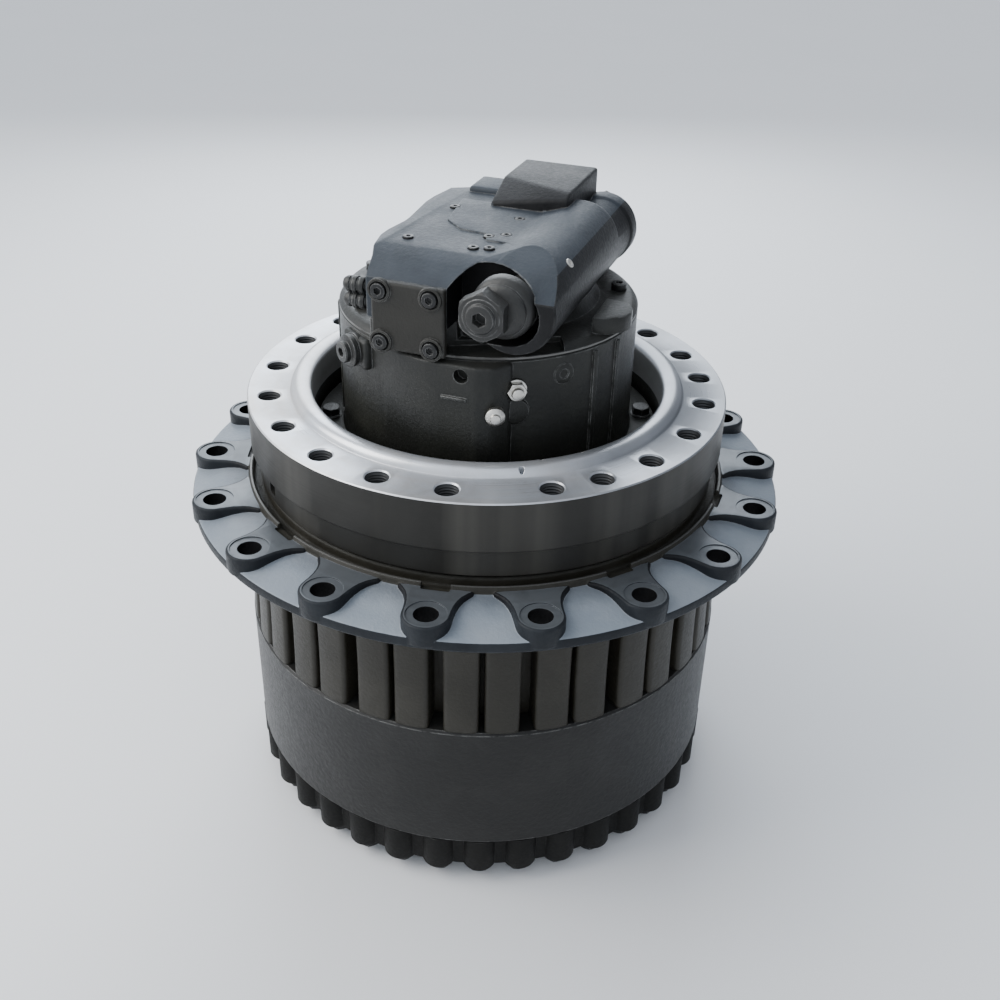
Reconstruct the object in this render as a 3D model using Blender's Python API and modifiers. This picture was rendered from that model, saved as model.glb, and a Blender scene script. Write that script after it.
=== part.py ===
"""Final drive of a large excavator: travel motor, two planetary stages and the sprocket hub.

Metres, +Z up. The gear cover's outer face lies on z = 0 and the shaft axis is the Z axis, so the
drive stands on its cover with the travel motor on top. The front of the valve block looks along -Y.
"""
import math

import bmesh
import bpy
from mathutils import Matrix, Vector

# Clearances and mesh settings
GAP = 0.0003
END_PLAY = 0.0005
OVERRUN = 0.002
SEAT_OVERLAP = 0.004
WELD = 0.000001
DRUM_STEPS = 72
RIM_STEPS = 54
CASE_STEPS = 36
BODY_STEPS = 24
BORE_STEPS = 16
SHAFT_STEPS = 12
SMALL_STEPS = 8
BOLT_STEPS = 6
FLAT_ANGLE = math.radians(0.2)

# Gear teeth, the same module in both stages because they share one ring gear
MODULE = 0.0055
RING_TEETH = 72
FIRST_SUN_TEETH = 12
FIRST_PLANET_TEETH = 30
SECOND_SUN_TEETH = 18
SECOND_PLANET_TEETH = 27
PLANET_COUNT = 3
PRESSURE_ANGLE = math.radians(20)
ADDENDUM_SHARE = 0.9
DEDENDUM_SHARE = 1.2
FLANK_SLACK = 0.00025

# Drum, cover and the bolts that hold them to the hub
DRUM_WALL = 0.0426
COVER_BOLT_INSET = 0.0224
COVER_BOLT_R = 0.008
COVER_BOLT_HEAD_R = 0.0135
COVER_BOLT_HEAD_HEIGHT = 0.010
COVER_BOLT_DEPTH = 0.016
LOBE_COUNT = 36
LONG_BOLT_STEP = 3
LOBE_R = 0.017
LOBE_ROOT_INSET = 0.0112
LOBE_ARC_POINTS = 4
COVER_BOSS_HEIGHT = 0.018
COVER_BOSS_INSET = 0.057
COVER_FLOOR = 0.034
COVER_FLANGE_THICK = 0.040
COVER_CHAMFER = 0.004
CAVITY_CLEARANCE = 0.003
PLUG_R = 0.014
PLUG_CIRCLE_SHARE = 0.72
PLUG_RECESS = 0.0015
PLUG_SOCKET_R = 0.0075
PLUG_SOCKET_DEPTH = 0.009
THRUST_PAD_R = 0.024

# Gear train, stacked upwards from the cover
FIRST_INSET = 0.008
FIRST_FACE = 0.032
FIRST_PIN_R = 0.020
FIRST_PIN_HEAD_R = 0.027
PIN_HEAD_THICK = 0.0038
FIRST_PLATE_THICK = 0.012
FIRST_PLATE_RIM = 0.010
SPIGOT_R = 0.036
SUN_BORE_R = 0.0195
SUN_SHAFT_R = 0.0165
STAGE_GAP = 0.003
SECOND_PLATE_THICK = 0.0115
SECOND_FACE = 0.065
SECOND_PIN_R = 0.019
POST_R = 0.023
POST_INSET = 0.004
SECOND_PLATE_INSET = 0.001
RING_PAST_GEARS = 0.008

# Spindle housing and hub bearings
JOURNAL_WALL = 0.0073
SPINDLE_WALL = 0.028
SPINDLE_FLOOR = 0.032
SPINDLE_HOLE_R = 0.058
PIN_DEPTH = 0.028
NUT_THICK = 0.0095
NUT_RIM = 0.014
NUT_SLOT_COUNT = 6
NUT_SLOT_WIDTH = 0.012
NUT_SLOT_DEPTH = 0.005
RACE_WIDTH = 0.036
RACE_SPREAD = 0.065
RACE_THICK = 0.011
ROW_THICK = 0.0174
RACE_TAPER = 0.005
SHOULDER_STEP = 0.010
INNER_SHOULDER = 0.016
SEAL_FLOOR_STEP = 0.0017
SEAL_INSET = 0.0063
SEAL_WIDTH = 0.0188
SEAL_THICK = 0.011
SEAL_BEVEL = 0.004

# Hub with its sprocket flange
HUB_WALL = 0.0305
RIB_ROOT_STEP = 0.0035
RIB_SEAT = 0.008
RIB_COUNT = 36
RIB_WIDE_SHARE = 0.36
RIB_NARROW_SHARE = 0.16
NECK_WALL = 0.0095
NECK_GAP = 0.004
NECK_TAPER = 0.0025
NECK_DROP = 0.0060
NECK_NOTCH_COUNT = 9
NECK_NOTCH_WIDTH = 0.026
NECK_NOTCH_DEPTH = 0.007
FLANGE_R = 0.295
FLANGE_SHOULDER = 0.014
FLANGE_SHOULDER_DROP = 0.001
RIM_DROP = 0.0164
RIM_THICK = 0.0108
BOSS_COUNT = 18
BOSS_R = 0.0235
BOSS_HOLE_INSET = 0.019
BOSS_RISE = 0.013
BOSS_ARC_POINTS = 6
SPROCKET_HOLE_R = 0.011

# Frame flange of the spindle housing
STEP_OVER = 0.0025
FRAME_FLANGE_OVER = 0.0066
STEP_HEIGHT = 0.027
STEP_SLOPE = 0.0015
FRAME_FLANGE_THICK = 0.0486
LIP_RISE = 0.0085
LIP_OUTER_INSET = 0.044
LIP_SLOPE = 0.002
WELL_INSET = 0.062
LEDGE_HEIGHT = 0.0236
FRAME_HOLE_INSET = 0.0212
FRAME_HOLE_R = 0.0115
FRAME_HOLE_DEPTH = 0.040
FRAME_HOLE_AZIMUTHS = (8.6, 24.2, 39.1, 56.0, 73.0, 90.0, 107.0, 124.0, 141.0, 158.0, 174.5,
                       192.9, 211.1, 229.0, 246.9, 264.1, 281.2, 305.3, 318.1, 333.2, 350.7)

# Travel motor
CASE_WALL = 0.016
CASE_R = 0.1415
CASE_FLANGE_THICK = 0.016
CASE_FLANGE_GAP = 0.003
CASE_LENGTH = 0.1397
CASE_FLOOR = 0.020
CASE_TAIL = 0.142
CASE_BOLT_COUNT = 8
CASE_BOLT_R = 0.008
CASE_BOLT_HEIGHT = 0.009
END_COVER_THICK = 0.026
END_COVER_ROUND = 0.007
END_SPIGOT = 0.018
SHAFT_R = 0.0235
SHAFT_SOCKET_DEPTH = 0.034
SHAFT_LEAD = 0.030
BRAKE_SPACE = 0.02805
BLOCK_LENGTH = 0.092
PISTON_COUNT = 7
PISTON_R = 0.0125
PISTON_CIRCLE_SHARE = 0.67
PISTON_SEAT = 0.006
PISTON_REACH = 0.026
SHOE_R = 0.0155
SHOE_THICK = 0.006
NECK_SHARE = 0.55
SWASH_R = 0.072
SWASH_THICK = 0.018
SWASH_HOLE_R = 0.034
SWASH_TILT = math.radians(8)
SWASH_FULL_TILT = math.radians(15)
TRUNNION_R = 0.006
VALVE_PLATE_THICK = 0.007
BRAKE_DISC_THICK = 0.006
BRAKE_LIFT = 0.0015
BRAKE_PISTON_LENGTH = 0.030
BRAKE_PISTON_WALL = 0.018
BRAKE_SPRING_WALL = 0.010

# Valve block and what is fitted to it
BLOCK_FRONT_OVER = 0.001
BLOCK_BACK_INSET = 0.0415
BLOCK_LEFT_INSET = 0.0775
BLOCK_RIGHT_INSET = 0.0895
BLOCK_HEIGHT = 0.055
BLOCK_EDGE_HEIGHT = 0.037
BLOCK_EDGE_DEPTH = 0.026
BLOCK_CHAMFER = 0.008
PORT_BOSS_WIDTH = 0.075
PORT_BOSS_INSET = 0.0055
PORT_BOSS_DEPTH = 0.101
PORT_BOSS_OVER = 0.022
PORT_BOSS_RISE = 0.020
PORT_R = 0.011
PORT_DEPTH = 0.030
PORT_SPACING = 0.030
PORT_LEFT_INSET = 0.019
PORT_DROP = 0.0236
BARREL_INSET = 0.069
BARREL_RISE = 0.0262
BARREL_R = 0.038
BARREL_FRONT_OVER = 0.0025
BARREL_BACK_OVER = 0.030
BARREL_RELIEF = 0.0015
SPOOL_R = 0.016
SPOOL_LENGTH = 0.130
SPOOL_TRAVEL = 0.008
SPOOL_GROOVE = 0.004
SPRING_CHAMBER_R = 0.020
SPRING_COILS = 3
SPRING_COIL_POINTS = 8
SPRING_WIRE_R = 0.0018
CAP_RECESS_R = 0.030
CAP_RECESS_DEPTH = 0.010
CAP_SEAT_DEPTH = 0.018
CAP_HEX_R = 0.0265
CAP_HEX_LENGTH = 0.012
CAP_NOSE_R = 0.0165
CAP_NOSE_LENGTH = 0.009
CAP_SOCKET_R = 0.007
CAP_SOCKET_DEPTH = 0.0075
FRONT_PLATE_THICK = 0.0072
FRONT_PLATE_INSET = 0.015
FRONT_PLATE_WIDTH = 0.066
FRONT_PLATE_DROP = 0.0243
FRONT_BOLT_R = 0.006
FRONT_BOLT_INSET = 0.009
FRONT_BOLT_HEIGHT = 0.004
PAD_SIDE_OVER = 0.006
PAD_FRONT_OVER = 0.0075
PAD_HEIGHT = 0.080
PAD_DEPTH = 0.050
PAD_TOP_GAP = 0.001
SIDE_PLUG_R = 0.0055
SIDE_PLUG_HEX_R = 0.0065
SIDE_PLUG_LENGTH = 0.014
SIDE_PLUG_SEAT = 0.012
SIDE_PLUG_SPACING = 0.0140
SIDE_PLUG_SETBACK = 0.016
SIDE_PLUG_RISE = 0.0075
RELIEF_R = 0.0135
RELIEF_HEX_R = 0.0155
RELIEF_AZIMUTH = math.radians(235)
FITTING_R = 0.007
FITTING_HEX_R = 0.0085
FITTING_SETBACK = 0.01325

# Radii that follow from the gears and the walls around them
RING_PITCH_R = MODULE * RING_TEETH / 2
RING_ROOT_R = RING_PITCH_R + MODULE * DEDENDUM_SHARE
FIRST_CENTRE = MODULE * (FIRST_SUN_TEETH + FIRST_PLANET_TEETH) / 2
SECOND_CENTRE = MODULE * (SECOND_SUN_TEETH + SECOND_PLANET_TEETH) / 2
DRUM_R = RING_ROOT_R + DRUM_WALL
COVER_BOLT_CIRCLE = RING_ROOT_R + COVER_BOLT_INSET
LOBE_CENTRE = DRUM_R - LOBE_R + OVERRUN / 2
LOBE_ROOT_R = DRUM_R - LOBE_ROOT_INSET
COVER_BOSS_R = DRUM_R - COVER_BOSS_INSET
JOURNAL_R = SECOND_CENTRE + SECOND_PIN_R + JOURNAL_WALL
BORE_R = JOURNAL_R - SPINDLE_WALL
INNER_RACE_R = JOURNAL_R + RACE_THICK
ROW_R = INNER_RACE_R + ROW_THICK
RACE_R = ROW_R + RACE_THICK
SEAL_IN_R = RACE_R + SEAL_INSET
SEAL_OUT_R = SEAL_IN_R + SEAL_WIDTH
NECK_BORE_R = SEAL_OUT_R + RACE_THICK / 10
NECK_R = NECK_BORE_R + NECK_WALL
STEP_R = NECK_R + STEP_OVER
FRAME_FLANGE_R = STEP_R + FRAME_FLANGE_OVER
FRAME_HOLE_CIRCLE = FRAME_FLANGE_R - FRAME_HOLE_INSET
WELL_R = FRAME_FLANGE_R - WELL_INSET
LIP_R = FRAME_FLANGE_R - LIP_OUTER_INSET
HUB_CORE_R = RACE_R + HUB_WALL
BOSS_CIRCLE = FLANGE_R - BOSS_HOLE_INSET

# Heights, worked upwards from the cover's face
COVER_TOP = COVER_BOSS_HEIGHT + COVER_FLANGE_THICK
RING_LOW = COVER_TOP + GAP
FIRST_LOW = COVER_TOP + FIRST_INSET
FIRST_HIGH = FIRST_LOW + FIRST_FACE
FIRST_PLATE_LOW = FIRST_HIGH + END_PLAY
FIRST_PLATE_HIGH = FIRST_PLATE_LOW + FIRST_PLATE_THICK
SECOND_PLATE_LOW = FIRST_PLATE_HIGH + STAGE_GAP
SECOND_PLATE_HIGH = SECOND_PLATE_LOW + SECOND_PLATE_THICK
SECOND_LOW = SECOND_PLATE_HIGH + END_PLAY
SECOND_HIGH = SECOND_LOW + SECOND_FACE
RING_HIGH = SECOND_HIGH + RING_PAST_GEARS
HUB_LOW = RING_HIGH + GAP
SPINDLE_LOW = SECOND_HIGH + END_PLAY
SPINDLE_FLOOR_TOP = SPINDLE_LOW + SPINDLE_FLOOR
FRONT_BEARING = SPINDLE_LOW + NUT_THICK + GAP
REAR_BEARING = FRONT_BEARING + RACE_WIDTH + RACE_SPREAD
SEAL_FLOOR = REAR_BEARING + RACE_WIDTH + SEAL_FLOOR_STEP
FIXED_SEAL_LOW = SEAL_FLOOR + GAP + SEAL_THICK + GAP
UNDERSIDE = FIXED_SEAL_LOW + SEAL_THICK + GAP
NECK_TOP = UNDERSIDE - NECK_GAP
RIM_TOP = NECK_TOP - RIM_DROP
RIM_LOW = RIM_TOP - RIM_THICK
STEP_TOP = UNDERSIDE + STEP_HEIGHT
FRAME_FLANGE_LOW = STEP_TOP + STEP_SLOPE
FRAME_FACE = FRAME_FLANGE_LOW + FRAME_FLANGE_THICK
LEDGE = UNDERSIDE + LEDGE_HEIGHT
CASE_LOW = LEDGE + GAP - CASE_TAIL
CASE_TOP = LEDGE + GAP + CASE_LENGTH
END_COVER_LOW = CASE_TOP + GAP
END_COVER_TOP = END_COVER_LOW + END_COVER_THICK
BLOCK_BASE = END_COVER_TOP + GAP
BARREL_Z = BLOCK_BASE + BARREL_RISE
VALVE_PLATE_LOW = END_COVER_LOW - END_SPIGOT - GAP - VALVE_PLATE_THICK
CYLINDER_TOP = VALVE_PLATE_LOW - GAP
CYLINDER_LOW = CYLINDER_TOP - BLOCK_LENGTH
CASE_CAVITY_R = BORE_R - CASE_WALL
BLOCK_R = CASE_CAVITY_R - BRAKE_SPACE
PISTON_CIRCLE = BLOCK_R * PISTON_CIRCLE_SHARE

# Places of the valve block's faces, followed from the motor case that it stands on
BLOCK_FRONT = -(CASE_R + BLOCK_FRONT_OVER)
BLOCK_BACK = CASE_R - BLOCK_BACK_INSET
BLOCK_LEFT = -(CASE_R - BLOCK_LEFT_INSET)
BLOCK_RIGHT = CASE_R - BLOCK_RIGHT_INSET
BARREL_X = CASE_R - BARREL_INSET
BARREL_FRONT = BLOCK_FRONT - BARREL_FRONT_OVER
BARREL_BACK = BLOCK_BACK + BARREL_BACK_OVER
PORT_BOSS_RIGHT = BARREL_X - PORT_BOSS_INSET
PORT_BOSS_LEFT = PORT_BOSS_RIGHT - PORT_BOSS_WIDTH
PORT_BOSS_BACK = BLOCK_BACK + PORT_BOSS_OVER
PORT_BOSS_FRONT = PORT_BOSS_BACK - PORT_BOSS_DEPTH
FRONT_PLATE_LEFT = BLOCK_LEFT + FRONT_PLATE_INSET
FRONT_PLATE_RIGHT = FRONT_PLATE_LEFT + FRONT_PLATE_WIDTH
PAD_LEFT = FRONT_PLATE_LEFT - PAD_TOP_GAP
PAD_RIGHT = BLOCK_RIGHT + PAD_SIDE_OVER
PAD_FRONT = BLOCK_FRONT - PAD_FRONT_OVER
PAD_BACK = -(CASE_CAVITY_R + CASE_WALL / 2)
FITTING_AZIMUTH = -math.acos((PAD_RIGHT + FITTING_SETBACK) / (CASE_R + PAD_TOP_GAP))
PORT_Z = BLOCK_BASE + BLOCK_HEIGHT + PORT_BOSS_RISE - PORT_DROP

PARTS = None
TOOLS = None


def clear_scene():
    for item in list(bpy.data.objects):
        bpy.data.objects.remove(item, do_unlink=True)


def new_collection(name):
    collection = bpy.data.collections.new(name)
    bpy.context.scene.collection.children.link(collection)
    return collection


def add_object(name, mesh, collection):
    item = bpy.data.objects.new(name, mesh)
    collection.objects.link(item)
    return item


def finish(item, colour, roughness, metallic, smooth_angle=math.radians(35)):
    """Give a piece its own paint and shade its round faces smooth."""
    paint = bpy.data.materials.new(item.name + "_paint")
    paint.use_nodes = True
    shader = paint.node_tree.nodes["Principled BSDF"]
    shader.inputs["Base Color"].default_value = (*colour, 1)
    shader.inputs["Roughness"].default_value = roughness
    shader.inputs["Metallic"].default_value = metallic
    item.data.materials.append(paint)
    item.data.shade_smooth()
    item.data.set_sharp_from_angle(angle=smooth_angle)
    return item


def dark_paint(item):
    return finish(item, (0.045, 0.045, 0.043), 0.38, 0.2)


def motor_paint(item):
    return finish(item, (0.050, 0.054, 0.056), 0.42, 0.3)


def bright_steel(item):
    return finish(item, (0.62, 0.61, 0.59), 0.30, 1.0)


def gear_steel(item):
    return finish(item, (0.42, 0.41, 0.40), 0.36, 1.0)


def cast_iron(item):
    return finish(item, (0.16, 0.16, 0.165), 0.50, 0.9)


def turned(name, profile, steps, collection=None, on_axis=False):
    """A turned solid from (radius, height) points that run down its outer side.

    A ring's profile closes on itself; a solid one starts and ends on the axis.
    """
    mesh = bpy.data.meshes.new(name)
    points = [(radius, 0, height) for radius, height in profile]
    count = len(points)
    links = [(i, i + 1) for i in range(count - 1)]
    if not on_axis:
        links.append((count - 1, 0))
    mesh.from_pydata(points, links, [])
    item = add_object(name, mesh, collection or PARTS)
    turn = item.modifiers.new("turn", "SCREW")
    turn.steps = steps
    turn.render_steps = steps
    turn.use_merge_vertices = True
    turn.merge_threshold = WELD
    turn.use_smooth_shade = True
    return item


def ring_profile(inner, outer, low, high):
    return [(outer, high), (outer, low), (inner, low), (inner, high)]


def plate(name, outlines, low, high, collection=None):
    """A flat piece: closed outlines in X and Y, filled between two heights."""
    curve = bpy.data.curves.new(name, "CURVE")
    curve.dimensions = "2D"
    curve.fill_mode = "BOTH"
    curve.extrude = (high - low) / 2
    for outline in outlines:
        spline = curve.splines.new("POLY")
        spline.points.add(len(outline) - 1)
        for point, (x, y) in zip(spline.points, outline):
            point.co = (x, y, 0, 1)
        spline.use_cyclic_u = True
    guide = add_object(name + "_outline", curve, collection or PARTS)
    guide.location.z = (low + high) / 2
    item = solid_from_curve(guide, name, collection or PARTS)
    return item


def solid_from_curve(guide, name, collection):
    """Turn a curve object into a mesh object whose caps are welded to its sides."""
    bpy.context.view_layer.update()
    graph = bpy.context.evaluated_depsgraph_get()
    mesh = bpy.data.meshes.new_from_object(guide.evaluated_get(graph))
    place = guide.matrix_world.copy()
    bpy.data.objects.remove(guide, do_unlink=True)
    shape = bmesh.new()
    shape.from_mesh(mesh)
    bmesh.ops.remove_doubles(shape, verts=shape.verts, dist=WELD)
    bmesh.ops.recalc_face_normals(shape, faces=shape.faces)
    shape.to_mesh(mesh)
    shape.free()
    item = add_object(name, mesh, collection)
    item.matrix_world = place
    return item


def running_bore(shaft_radius, steps):
    """A bore whose flat facets stay one gap clear of a shaft that turns in it."""
    return (shaft_radius + GAP) / math.cos(math.pi / steps)


def circle(radius, count, centre=(0, 0), turn=0.0):
    step = 2 * math.pi / count
    return [(centre[0] + radius * math.cos(turn + step * i),
             centre[1] + radius * math.sin(turn + step * i)) for i in range(count)]


def on_circle(radius, angle):
    return (radius * math.cos(angle), radius * math.sin(angle))


def evenly(count, start=0.0):
    return [start + 2 * math.pi * i / count for i in range(count)]


def rods(name, places, sides, turn=0.0):
    """Separate upright rods in one tool mesh: each place is (x, y, radius, low, high)."""
    shape = bmesh.new()
    for x, y, radius, low, high in places:
        spin = Matrix.Rotation(turn + math.atan2(y, x) - math.pi / 2, 4, "Z")
        move = Matrix.Translation(Vector((x, y, (low + high) / 2)))
        bmesh.ops.create_cone(shape, cap_ends=True, segments=sides, radius1=radius,
                              radius2=radius, depth=high - low, matrix=move @ spin)
    mesh = bpy.data.meshes.new(name)
    shape.to_mesh(mesh)
    shape.free()
    return add_object(name, mesh, TOOLS)


def boxes(name, places):
    """Separate boxes in one tool mesh: each place is (low corner, high corner, turn about Z)."""
    shape = bmesh.new()
    for low, high, turn in places:
        low, high = Vector(low), Vector(high)
        size = Matrix.Diagonal((*(high - low), 1))
        move = Matrix.Translation((low + high) / 2)
        bmesh.ops.create_cube(shape, size=1, matrix=Matrix.Rotation(turn, 4, "Z") @ move @ size)
    mesh = bpy.data.meshes.new(name)
    shape.to_mesh(mesh)
    shape.free()
    return add_object(name, mesh, TOOLS)


def apply_tool(item, tool, operation):
    tool.hide_render = True
    tool.display_type = "WIRE"
    step = item.modifiers.new(tool.name, "BOOLEAN")
    step.operation = operation
    step.object = tool


def merge_flat_faces(item):
    """Join faces that lie in one plane, which the cuts and joins leave in many pieces."""
    merge = item.modifiers.new("flat_faces", "DECIMATE")
    merge.decimate_type = "DISSOLVE"
    merge.angle_limit = FLAT_ANGLE


def cut(item, tool):
    apply_tool(item, tool, "DIFFERENCE")


def join(item, tool):
    apply_tool(item, tool, "UNION")


def tooth_points(teeth, addendum, dedendum, slack, phase=0.0):
    """A gear's outline with four points a tooth, its flanks set on the 20 degree involute."""
    pitch_r = MODULE * teeth / 2
    base_r = pitch_r * math.cos(PRESSURE_ANGLE)

    def involute(angle):
        return math.tan(angle) - angle

    def half_angle(radius):
        pressure = math.acos(min(1.0, base_r / radius))
        at_pitch = math.pi / (2 * teeth) - slack / pitch_r
        return at_pitch + involute(PRESSURE_ANGLE) - involute(pressure)

    tip_r = pitch_r + addendum
    root_r = pitch_r - dedendum
    tip = half_angle(tip_r)
    root = half_angle(max(root_r, base_r))
    outline = []
    for angle in evenly(teeth, phase):
        outline.append(on_circle(root_r, angle - root))
        outline.append(on_circle(tip_r, angle - tip))
        outline.append(on_circle(tip_r, angle + tip))
        outline.append(on_circle(root_r, angle + root))
    return outline


def gear_points(teeth, phase=0.0):
    return tooth_points(teeth, MODULE * ADDENDUM_SHARE, MODULE * DEDENDUM_SHARE, FLANK_SLACK, phase)


# Gear cover, its bolts and its plugs


def lobe_outline():
    """The cover's scalloped edge: one round lobe over each bolt, on a smaller disc."""
    reach = (LOBE_CENTRE ** 2 + LOBE_ROOT_R ** 2 - LOBE_R ** 2) / (2 * LOBE_CENTRE * LOBE_ROOT_R)
    foot = math.acos(reach)
    foot_x = LOBE_ROOT_R * math.cos(foot) - LOBE_CENTRE
    foot_y = LOBE_ROOT_R * math.sin(foot)
    swing = math.atan2(foot_y, foot_x)
    outline = []
    for angle in evenly(LOBE_COUNT):
        centre = on_circle(LOBE_CENTRE, angle)
        for i in range(LOBE_ARC_POINTS):
            turn = angle + swing * (2 * i / (LOBE_ARC_POINTS - 1) - 1)
            outline.append((centre[0] + LOBE_R * math.cos(turn), centre[1] + LOBE_R * math.sin(turn)))
    return outline


def make_cover():
    cover = plate("gear_cover", [lobe_outline()], COVER_BOSS_HEIGHT, COVER_TOP)
    boss = turned("cover_boss", [(0, COVER_BOSS_HEIGHT + SEAT_OVERLAP),
                                 (COVER_BOSS_R + COVER_CHAMFER, COVER_BOSS_HEIGHT + SEAT_OVERLAP),
                                 (COVER_BOSS_R, COVER_CHAMFER),
                                 (COVER_BOSS_R - COVER_CHAMFER, 0),
                                 (0, 0)], CASE_STEPS, TOOLS, on_axis=True)
    join(cover, boss)
    tip_circle = MODULE * (FIRST_PLANET_TEETH / 2 + ADDENDUM_SHARE) + FIRST_CENTRE
    cavity = rods("cover_cavity", [(0, 0, tip_circle + CAVITY_CLEARANCE, COVER_FLOOR,
                                    COVER_TOP + OVERRUN)], CASE_STEPS)
    cut(cover, cavity)
    heads = [(*on_circle(COVER_BOLT_CIRCLE, angle), COVER_BOLT_HEAD_R,
              COVER_BOSS_HEIGHT - COVER_BOLT_HEAD_HEIGHT, COVER_BOSS_HEIGHT + SEAT_OVERLAP)
             for angle in evenly(LOBE_COUNT)]
    shanks = [(*on_circle(COVER_BOLT_CIRCLE, angle), COVER_BOLT_R,
               COVER_TOP - SEAT_OVERLAP, HUB_LOW + COVER_BOLT_DEPTH)
              for angle in evenly(LOBE_COUNT // LONG_BOLT_STEP)]
    join(cover, rods("cover_bolts", heads + shanks, BOLT_STEPS))
    plug_holes = [(*on_circle(PLUG_CIRCLE_SHARE * COVER_BOSS_R, angle), PLUG_R + GAP, -OVERRUN,
                   COVER_FLOOR + OVERRUN) for angle in (math.pi / 2, math.pi)]
    cut(cover, rods("cover_plug_holes", plug_holes, SMALL_STEPS))
    merge_flat_faces(cover)
    dark_paint(cover)
    for name, angle in (("drain_plug", math.pi / 2), ("level_plug", math.pi)):
        make_cover_plug(name, angle)
    pad = turned("thrust_pad", [(0, FIRST_LOW - GAP), (THRUST_PAD_R, FIRST_LOW - GAP),
                                (THRUST_PAD_R, COVER_FLOOR + GAP), (0, COVER_FLOOR + GAP)],
                 SHAFT_STEPS, on_axis=True)
    gear_steel(pad)


def make_cover_plug(name, angle):
    x, y = on_circle(PLUG_CIRCLE_SHARE * COVER_BOSS_R, angle)
    plug = plate(name, [circle(PLUG_R, SMALL_STEPS, turn=angle)], PLUG_RECESS, COVER_FLOOR)
    plug.location.x = x
    plug.location.y = y
    cut(plug, rods(name + "_socket", [(x, y, PLUG_SOCKET_R, -OVERRUN,
                                       PLUG_RECESS + PLUG_SOCKET_DEPTH)], BOLT_STEPS))
    bright_steel(plug)


# Ring gear and planetary stages


def make_ring_gear():
    spaces = tooth_points(RING_TEETH, MODULE * DEDENDUM_SHARE, MODULE * ADDENDUM_SHARE,
                          -FLANK_SLACK)
    outlines = [circle(DRUM_R, DRUM_STEPS), spaces]
    for angle in evenly(LOBE_COUNT // LONG_BOLT_STEP):
        outlines.append(circle(COVER_BOLT_R + END_PLAY, BOLT_STEPS,
                               on_circle(COVER_BOLT_CIRCLE, angle), angle))
    dark_paint(plate("ring_gear", outlines, RING_LOW, RING_HIGH))


def planet_phase(angle, teeth):
    """A planet's turn about its own axis that puts it in mesh with the ring at this place."""
    return angle * (1 - RING_TEETH / teeth)


def sun_phase(sun_teeth, planet_teeth):
    """A planet with an even number of teeth turns one to its sun, which then needs a space there."""
    return math.pi / sun_teeth * ((planet_teeth + 1) % 2)


def make_planet(name, teeth, centre, angle, pin_r, low, high):
    planet = plate(name, [gear_points(teeth, planet_phase(angle, teeth)),
                          circle(running_bore(pin_r, BORE_STEPS), BORE_STEPS, turn=angle)],
                   low, high)
    place = on_circle(centre, angle)
    planet.location.x, planet.location.y = place
    gear_steel(planet)
    set_z_origin(planet)


def set_z_origin(item):
    """Put the origin on the piece's axis at z = 0."""
    item.data.transform(Matrix.Translation(Vector((0, 0, item.location.z))))
    item.location.z = 0


def make_pin(name, centre, angle, profile):
    pin = turned(name, profile, SMALL_STEPS, on_axis=True)
    x, y = on_circle(centre, angle)
    pin.location = (x, y, 0)
    pin.rotation_euler = (0, 0, angle)
    gear_steel(pin)


def make_first_stage():
    bore = FIRST_PIN_R + GAP
    head_low = FIRST_LOW - GAP - PIN_HEAD_THICK
    pin_profile = [(0, FIRST_PLATE_HIGH), (FIRST_PIN_R, FIRST_PLATE_HIGH),
                   (FIRST_PIN_R, FIRST_LOW - GAP), (FIRST_PIN_HEAD_R, FIRST_LOW - GAP),
                   (FIRST_PIN_HEAD_R, head_low), (0, head_low)]
    rim = FIRST_CENTRE + FIRST_PIN_R + FIRST_PLATE_RIM
    carrier = turned("first_carrier", ring_profile(SPIGOT_R + GAP, rim, FIRST_PLATE_LOW,
                                                   FIRST_PLATE_HIGH), BODY_STEPS)
    holes = []
    for number, angle in enumerate(evenly(PLANET_COUNT), 1):
        make_planet(f"first_planet_{number}", FIRST_PLANET_TEETH, FIRST_CENTRE, angle, FIRST_PIN_R,
                    FIRST_LOW, FIRST_HIGH)
        make_pin(f"first_planet_pin_{number}", FIRST_CENTRE, angle, pin_profile)
        holes.append((*on_circle(FIRST_CENTRE, angle), bore, FIRST_PLATE_LOW - OVERRUN,
                      FIRST_PLATE_HIGH + OVERRUN))
    cut(carrier, rods("first_pin_holes", holes, SMALL_STEPS))
    cast_iron(carrier)
    phase = sun_phase(FIRST_SUN_TEETH, FIRST_PLANET_TEETH)
    sun = plate("first_sun_gear", [gear_points(FIRST_SUN_TEETH, phase)], FIRST_LOW, FIRST_HIGH)
    shaft_top = SPINDLE_FLOOR_TOP + SHAFT_SOCKET_DEPTH - END_PLAY
    join(sun, rods("sun_shaft", [(0, 0, SUN_SHAFT_R, FIRST_LOW + SEAT_OVERLAP, shaft_top)],
                   SHAFT_STEPS))
    set_z_origin(sun)
    merge_flat_faces(sun)
    gear_steel(sun)


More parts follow.
